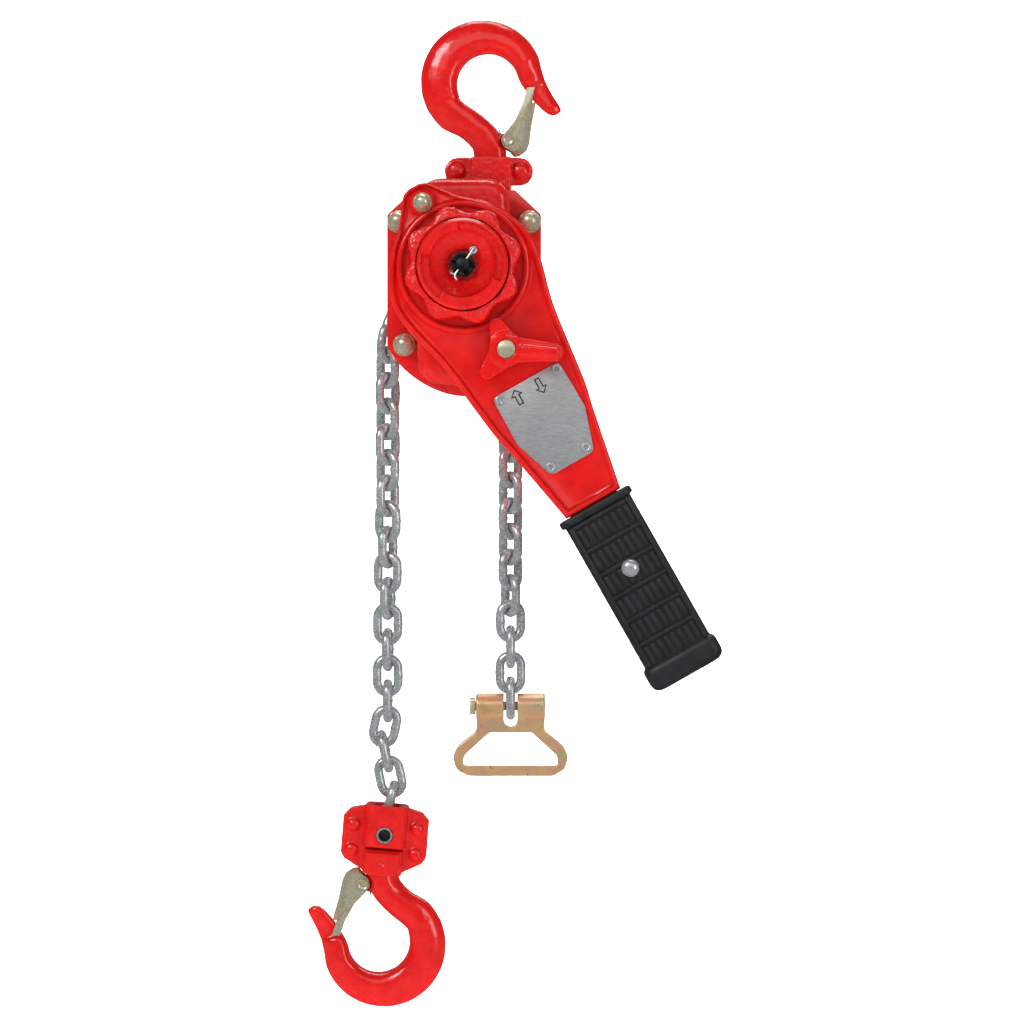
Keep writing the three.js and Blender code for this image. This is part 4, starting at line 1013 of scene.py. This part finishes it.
def wrap_links(load_top, tail_top):
    """The run up from the load side, round the sheave and down to the tail, about the shaft."""
    load_bend, tail_bend = (load_top[0], LOAD_BEND_Z), (tail_top[0], TAIL_BEND_Z)

    def touch(point, side):
        return math.atan2(point[1], point[0]) + side * math.acos(SHEAVE_RADIUS / math.hypot(*point))

    start = touch(load_bend, -1) + math.tau
    end = touch(tail_bend, 1)
    route = [load_top, load_bend]
    for i in range(49):
        a = start + (end - start) * i / 48
        route.append((SHEAVE_RADIUS * math.cos(a), SHEAVE_RADIUS * math.sin(a)))
    route += [tail_bend, tail_top]
    lengths = [0]
    for a, b in zip(route, route[1:]):
        lengths.append(lengths[-1] + math.dist(a, b))

    def at(distance):
        last = len(lengths) - 1
        i = next((k for k in range(1, last + 1) if lengths[k] >= distance), last)
        t = (distance - lengths[i - 1]) / (lengths[i] - lengths[i - 1])
        return Vector((*route[i - 1], 0)).lerp(Vector((*route[i], 0)), t)

    spare = -0.5
    count = int((lengths[-1] - 2 * spare) // (PITCH + 0.15))
    step = (lengths[-1] - 2 * spare) / count
    links = []
    for i in range(count):
        a, b = at(spare + step * i), at(spare + step * (i + 1))
        middle, way = (a + b) / 2, (b - a).normalized()
        centre = Vector((middle.x + SHAFT[0], 0, middle.y + SHAFT[1]))
        links.append((centre, Vector((way.x, 0, way.y)), math.radians(90 * (i % 2) - 45)))
    return links


load, tail = load_links(), tail_links()
for links, lengths in ((load, LOAD_LENGTHS), (tail, TAIL_LENGTHS)):
    first = 0
    for name, count in lengths:
        shape = merged(*[link(*one) for one in links[first:first + count]])
        dress(solid(f"{name}_links", shape), "zinc", name, smooth=80)
        first += count
tops = [(links[0][0].x - SHAFT[0], links[0][0].z + PITCH / 2 - SHAFT[1]) for links in (load, tail)]
wrap = merged(*[link(*one) for one in wrap_links(*tops)])
dress(solid("chain_on_sheave_links", wrap), "zinc", "chain_on_sheave", smooth=80)

# ---------------------------------------------------------------- stop handle
outer = fillet([
    (-21, 0), (-21, -15.2), (-32.6, -24.6), (-35.6, -31), (-33.4, -39), (-26, -43), (26, -43),
    (33.4, -39), (35.6, -31), (32.6, -24.6), (21, -15.2), (21, 0),
], [1, 3, 8, 6, 6, 6, 6, 6, 6, 8, 3, 1])
window = fillet([
    (-13, -16.2), (-28.6, -30.4), (-29.6, -36.8), (29.6, -36.8), (28.6, -30.4), (13, -16.2),
], [3, 4, 3.4, 3.4, 4, 3])
handle = solid("stop_handle_forging", soft_prism(outer, -3, 3, 0.5), STOP)
sideways = Matrix.Rotation(math.radians(90), 4, "Z")
barrel = [(0, -21.25), (7, -21.25), (7.8, -20.6), (7.8, 20.6), (7, 21.25), (0, 21.25)]
fuse(handle, moved(lathe(barrel, 72), sideways))
slot = arc(0, -8.6, 4.2, 180, 360, 12) + [(4.2, 20), (-4.2, 20)]
cut(handle, prism(window, -10, 10), prism(slot, -12, 12),
    moved(lathe([(0, -30), (3.1, -30), (3.1, 30), (0, 30)], 32), sideways))
dress(cast(handle, 0.5, 6, 0.2, 5), "gold", "stop_handle", smooth=60)
bolt = lathe([(0, -21), (2.5, -21), (2.8, -20.6), (2.8, 22), (0, 22)], 32)
head = soft_prism(fillet(hex_points(5.4, 20), 1.2, 3), 21.6, 25, 0.4)
dress(solid("stop_bolt_hex", moved(merged(bolt, head), sideways), STOP), "yellow", "stop_bolt")

# ---------------------------------------------------------------- inner parts, kept as the CAD has them
INNER_PARTS = {
    "yoke_pin": "steel", "chain_stripper": "steel", "load_sheave": "steel", "load_gear": "steel",
    "disc_gear_upper": "steel", "disc_gear_lower": "steel", "ratchet_disc": "steel",
    "pawl_left": "steel", "pawl_right": "steel", "change_gear": "steel", "change_pawl": "steel",
    "friction_disc_rear": "lining", "friction_disc_front": "lining",
}
for node, finish in INNER_PARTS.items():
    NODES[node].data.materials.clear()
    NODES[node].data.materials.append(FINISH[finish])
    bevel(NODES[node], 0.3, 2, unit=MM)

# ---------------------------------------------------------------- floor, light and camera
CAMERA_AT = Vector((13.2, -1700, -282)) * MM
FLOOR_Z = -0.66


def backdrop():
    """A floor that curves up into a wall behind the object, as (y, z) points carried across X."""
    flat_end, bend, height = 1.6, 1.2, 6.0
    profile = [(-6.0, 0.0), (flat_end, 0.0)]
    for i in range(1, 25):
        a = math.pi / 2 * i / 24
        profile.append((flat_end + bend * math.sin(a), bend - bend * math.cos(a)))
    profile.append((flat_end + bend, height))
    verts = [(x, y, FLOOR_Z + z) for y, z in profile for x in (-6, 6)]
    faces = [(i, i + 1, i + 3, i + 2) for i in range(0, len(verts) - 2, 2)]
    mesh = bpy.data.meshes.new("backdrop")
    mesh.from_pydata(verts, [], faces)
    obj = bpy.data.objects.new("backdrop", mesh)
    bpy.context.scene.collection.objects.link(obj)
    mesh.polygons.foreach_set("use_smooth", [True] * len(mesh.polygons))
    pale = bpy.data.materials.new("pale_floor")
    pale.use_nodes = True
    shader = pale.node_tree.nodes["Principled BSDF"]
    shader.inputs["Base Color"].default_value = (0.9, 0.9, 0.9, 1)
    shader.inputs["Roughness"].default_value = 0.9
    shader.inputs["Emission Color"].default_value = (1, 1, 1, 1)
    shader.inputs["Emission Strength"].default_value = 0.8
    mesh.materials.append(pale)
    obj.visible_glossy = False  # dark edges on the enamel and the zinc, as in the photograph


def area_light(name, where, target, size, power):
    light = bpy.data.lights.new(name, "AREA")
    light.shape, light.size, light.size_y, light.energy = "RECTANGLE", size[0], size[1], power
    obj = bpy.data.objects.new(name, light)
    obj.location = where
    obj.rotation_euler = (Vector(target) - Vector(where)).to_track_quat("-Z", "Y").to_euler()
    bpy.context.scene.collection.objects.link(obj)


backdrop()
MIDDLE, WALL = (0.0, 0.0, -0.28), (0, 2.4, 0.2)
for light in (  # name, place, target, size in metres, watts
    ("key", (-1.5, -1.9, 1.2), MIDDLE, (0.9, 0.9), 30),
    ("fill", (1.9, -1.8, 0.1), MIDDLE, (0.5, 1.6), 12),
    ("front", (0.0, -3.2, 1.5), MIDDLE, (3.2, 1.6), 16),
    ("top", (0.1, 0.2, 1.9), MIDDLE, (1.4, 0.7), 16),
    ("back", (0.4, 1.5, 1.4), WALL, (2.6, 1.2), 45),
):
    area_light(*light)
world = bpy.data.worlds.new("studio")
bpy.context.scene.world = world
world.use_nodes = True
background = world.node_tree.nodes["Background"]
background.inputs["Color"].default_value = (1, 1, 1, 1)
background.inputs["Strength"].default_value = 0.1
bpy.context.scene.view_settings.view_transform = "Standard"

camera = bpy.data.cameras.new("camera")
camera.lens, camera.sensor_width = 97.0, 36.0
camera.clip_start, camera.clip_end = 0.05, 50
camera_object = bpy.data.objects.new("camera", camera)
camera_object.location = CAMERA_AT
camera_object.rotation_euler = (math.pi / 2, 0, 0)
bpy.context.scene.collection.objects.link(camera_object)
bpy.context.scene.camera = camera_object
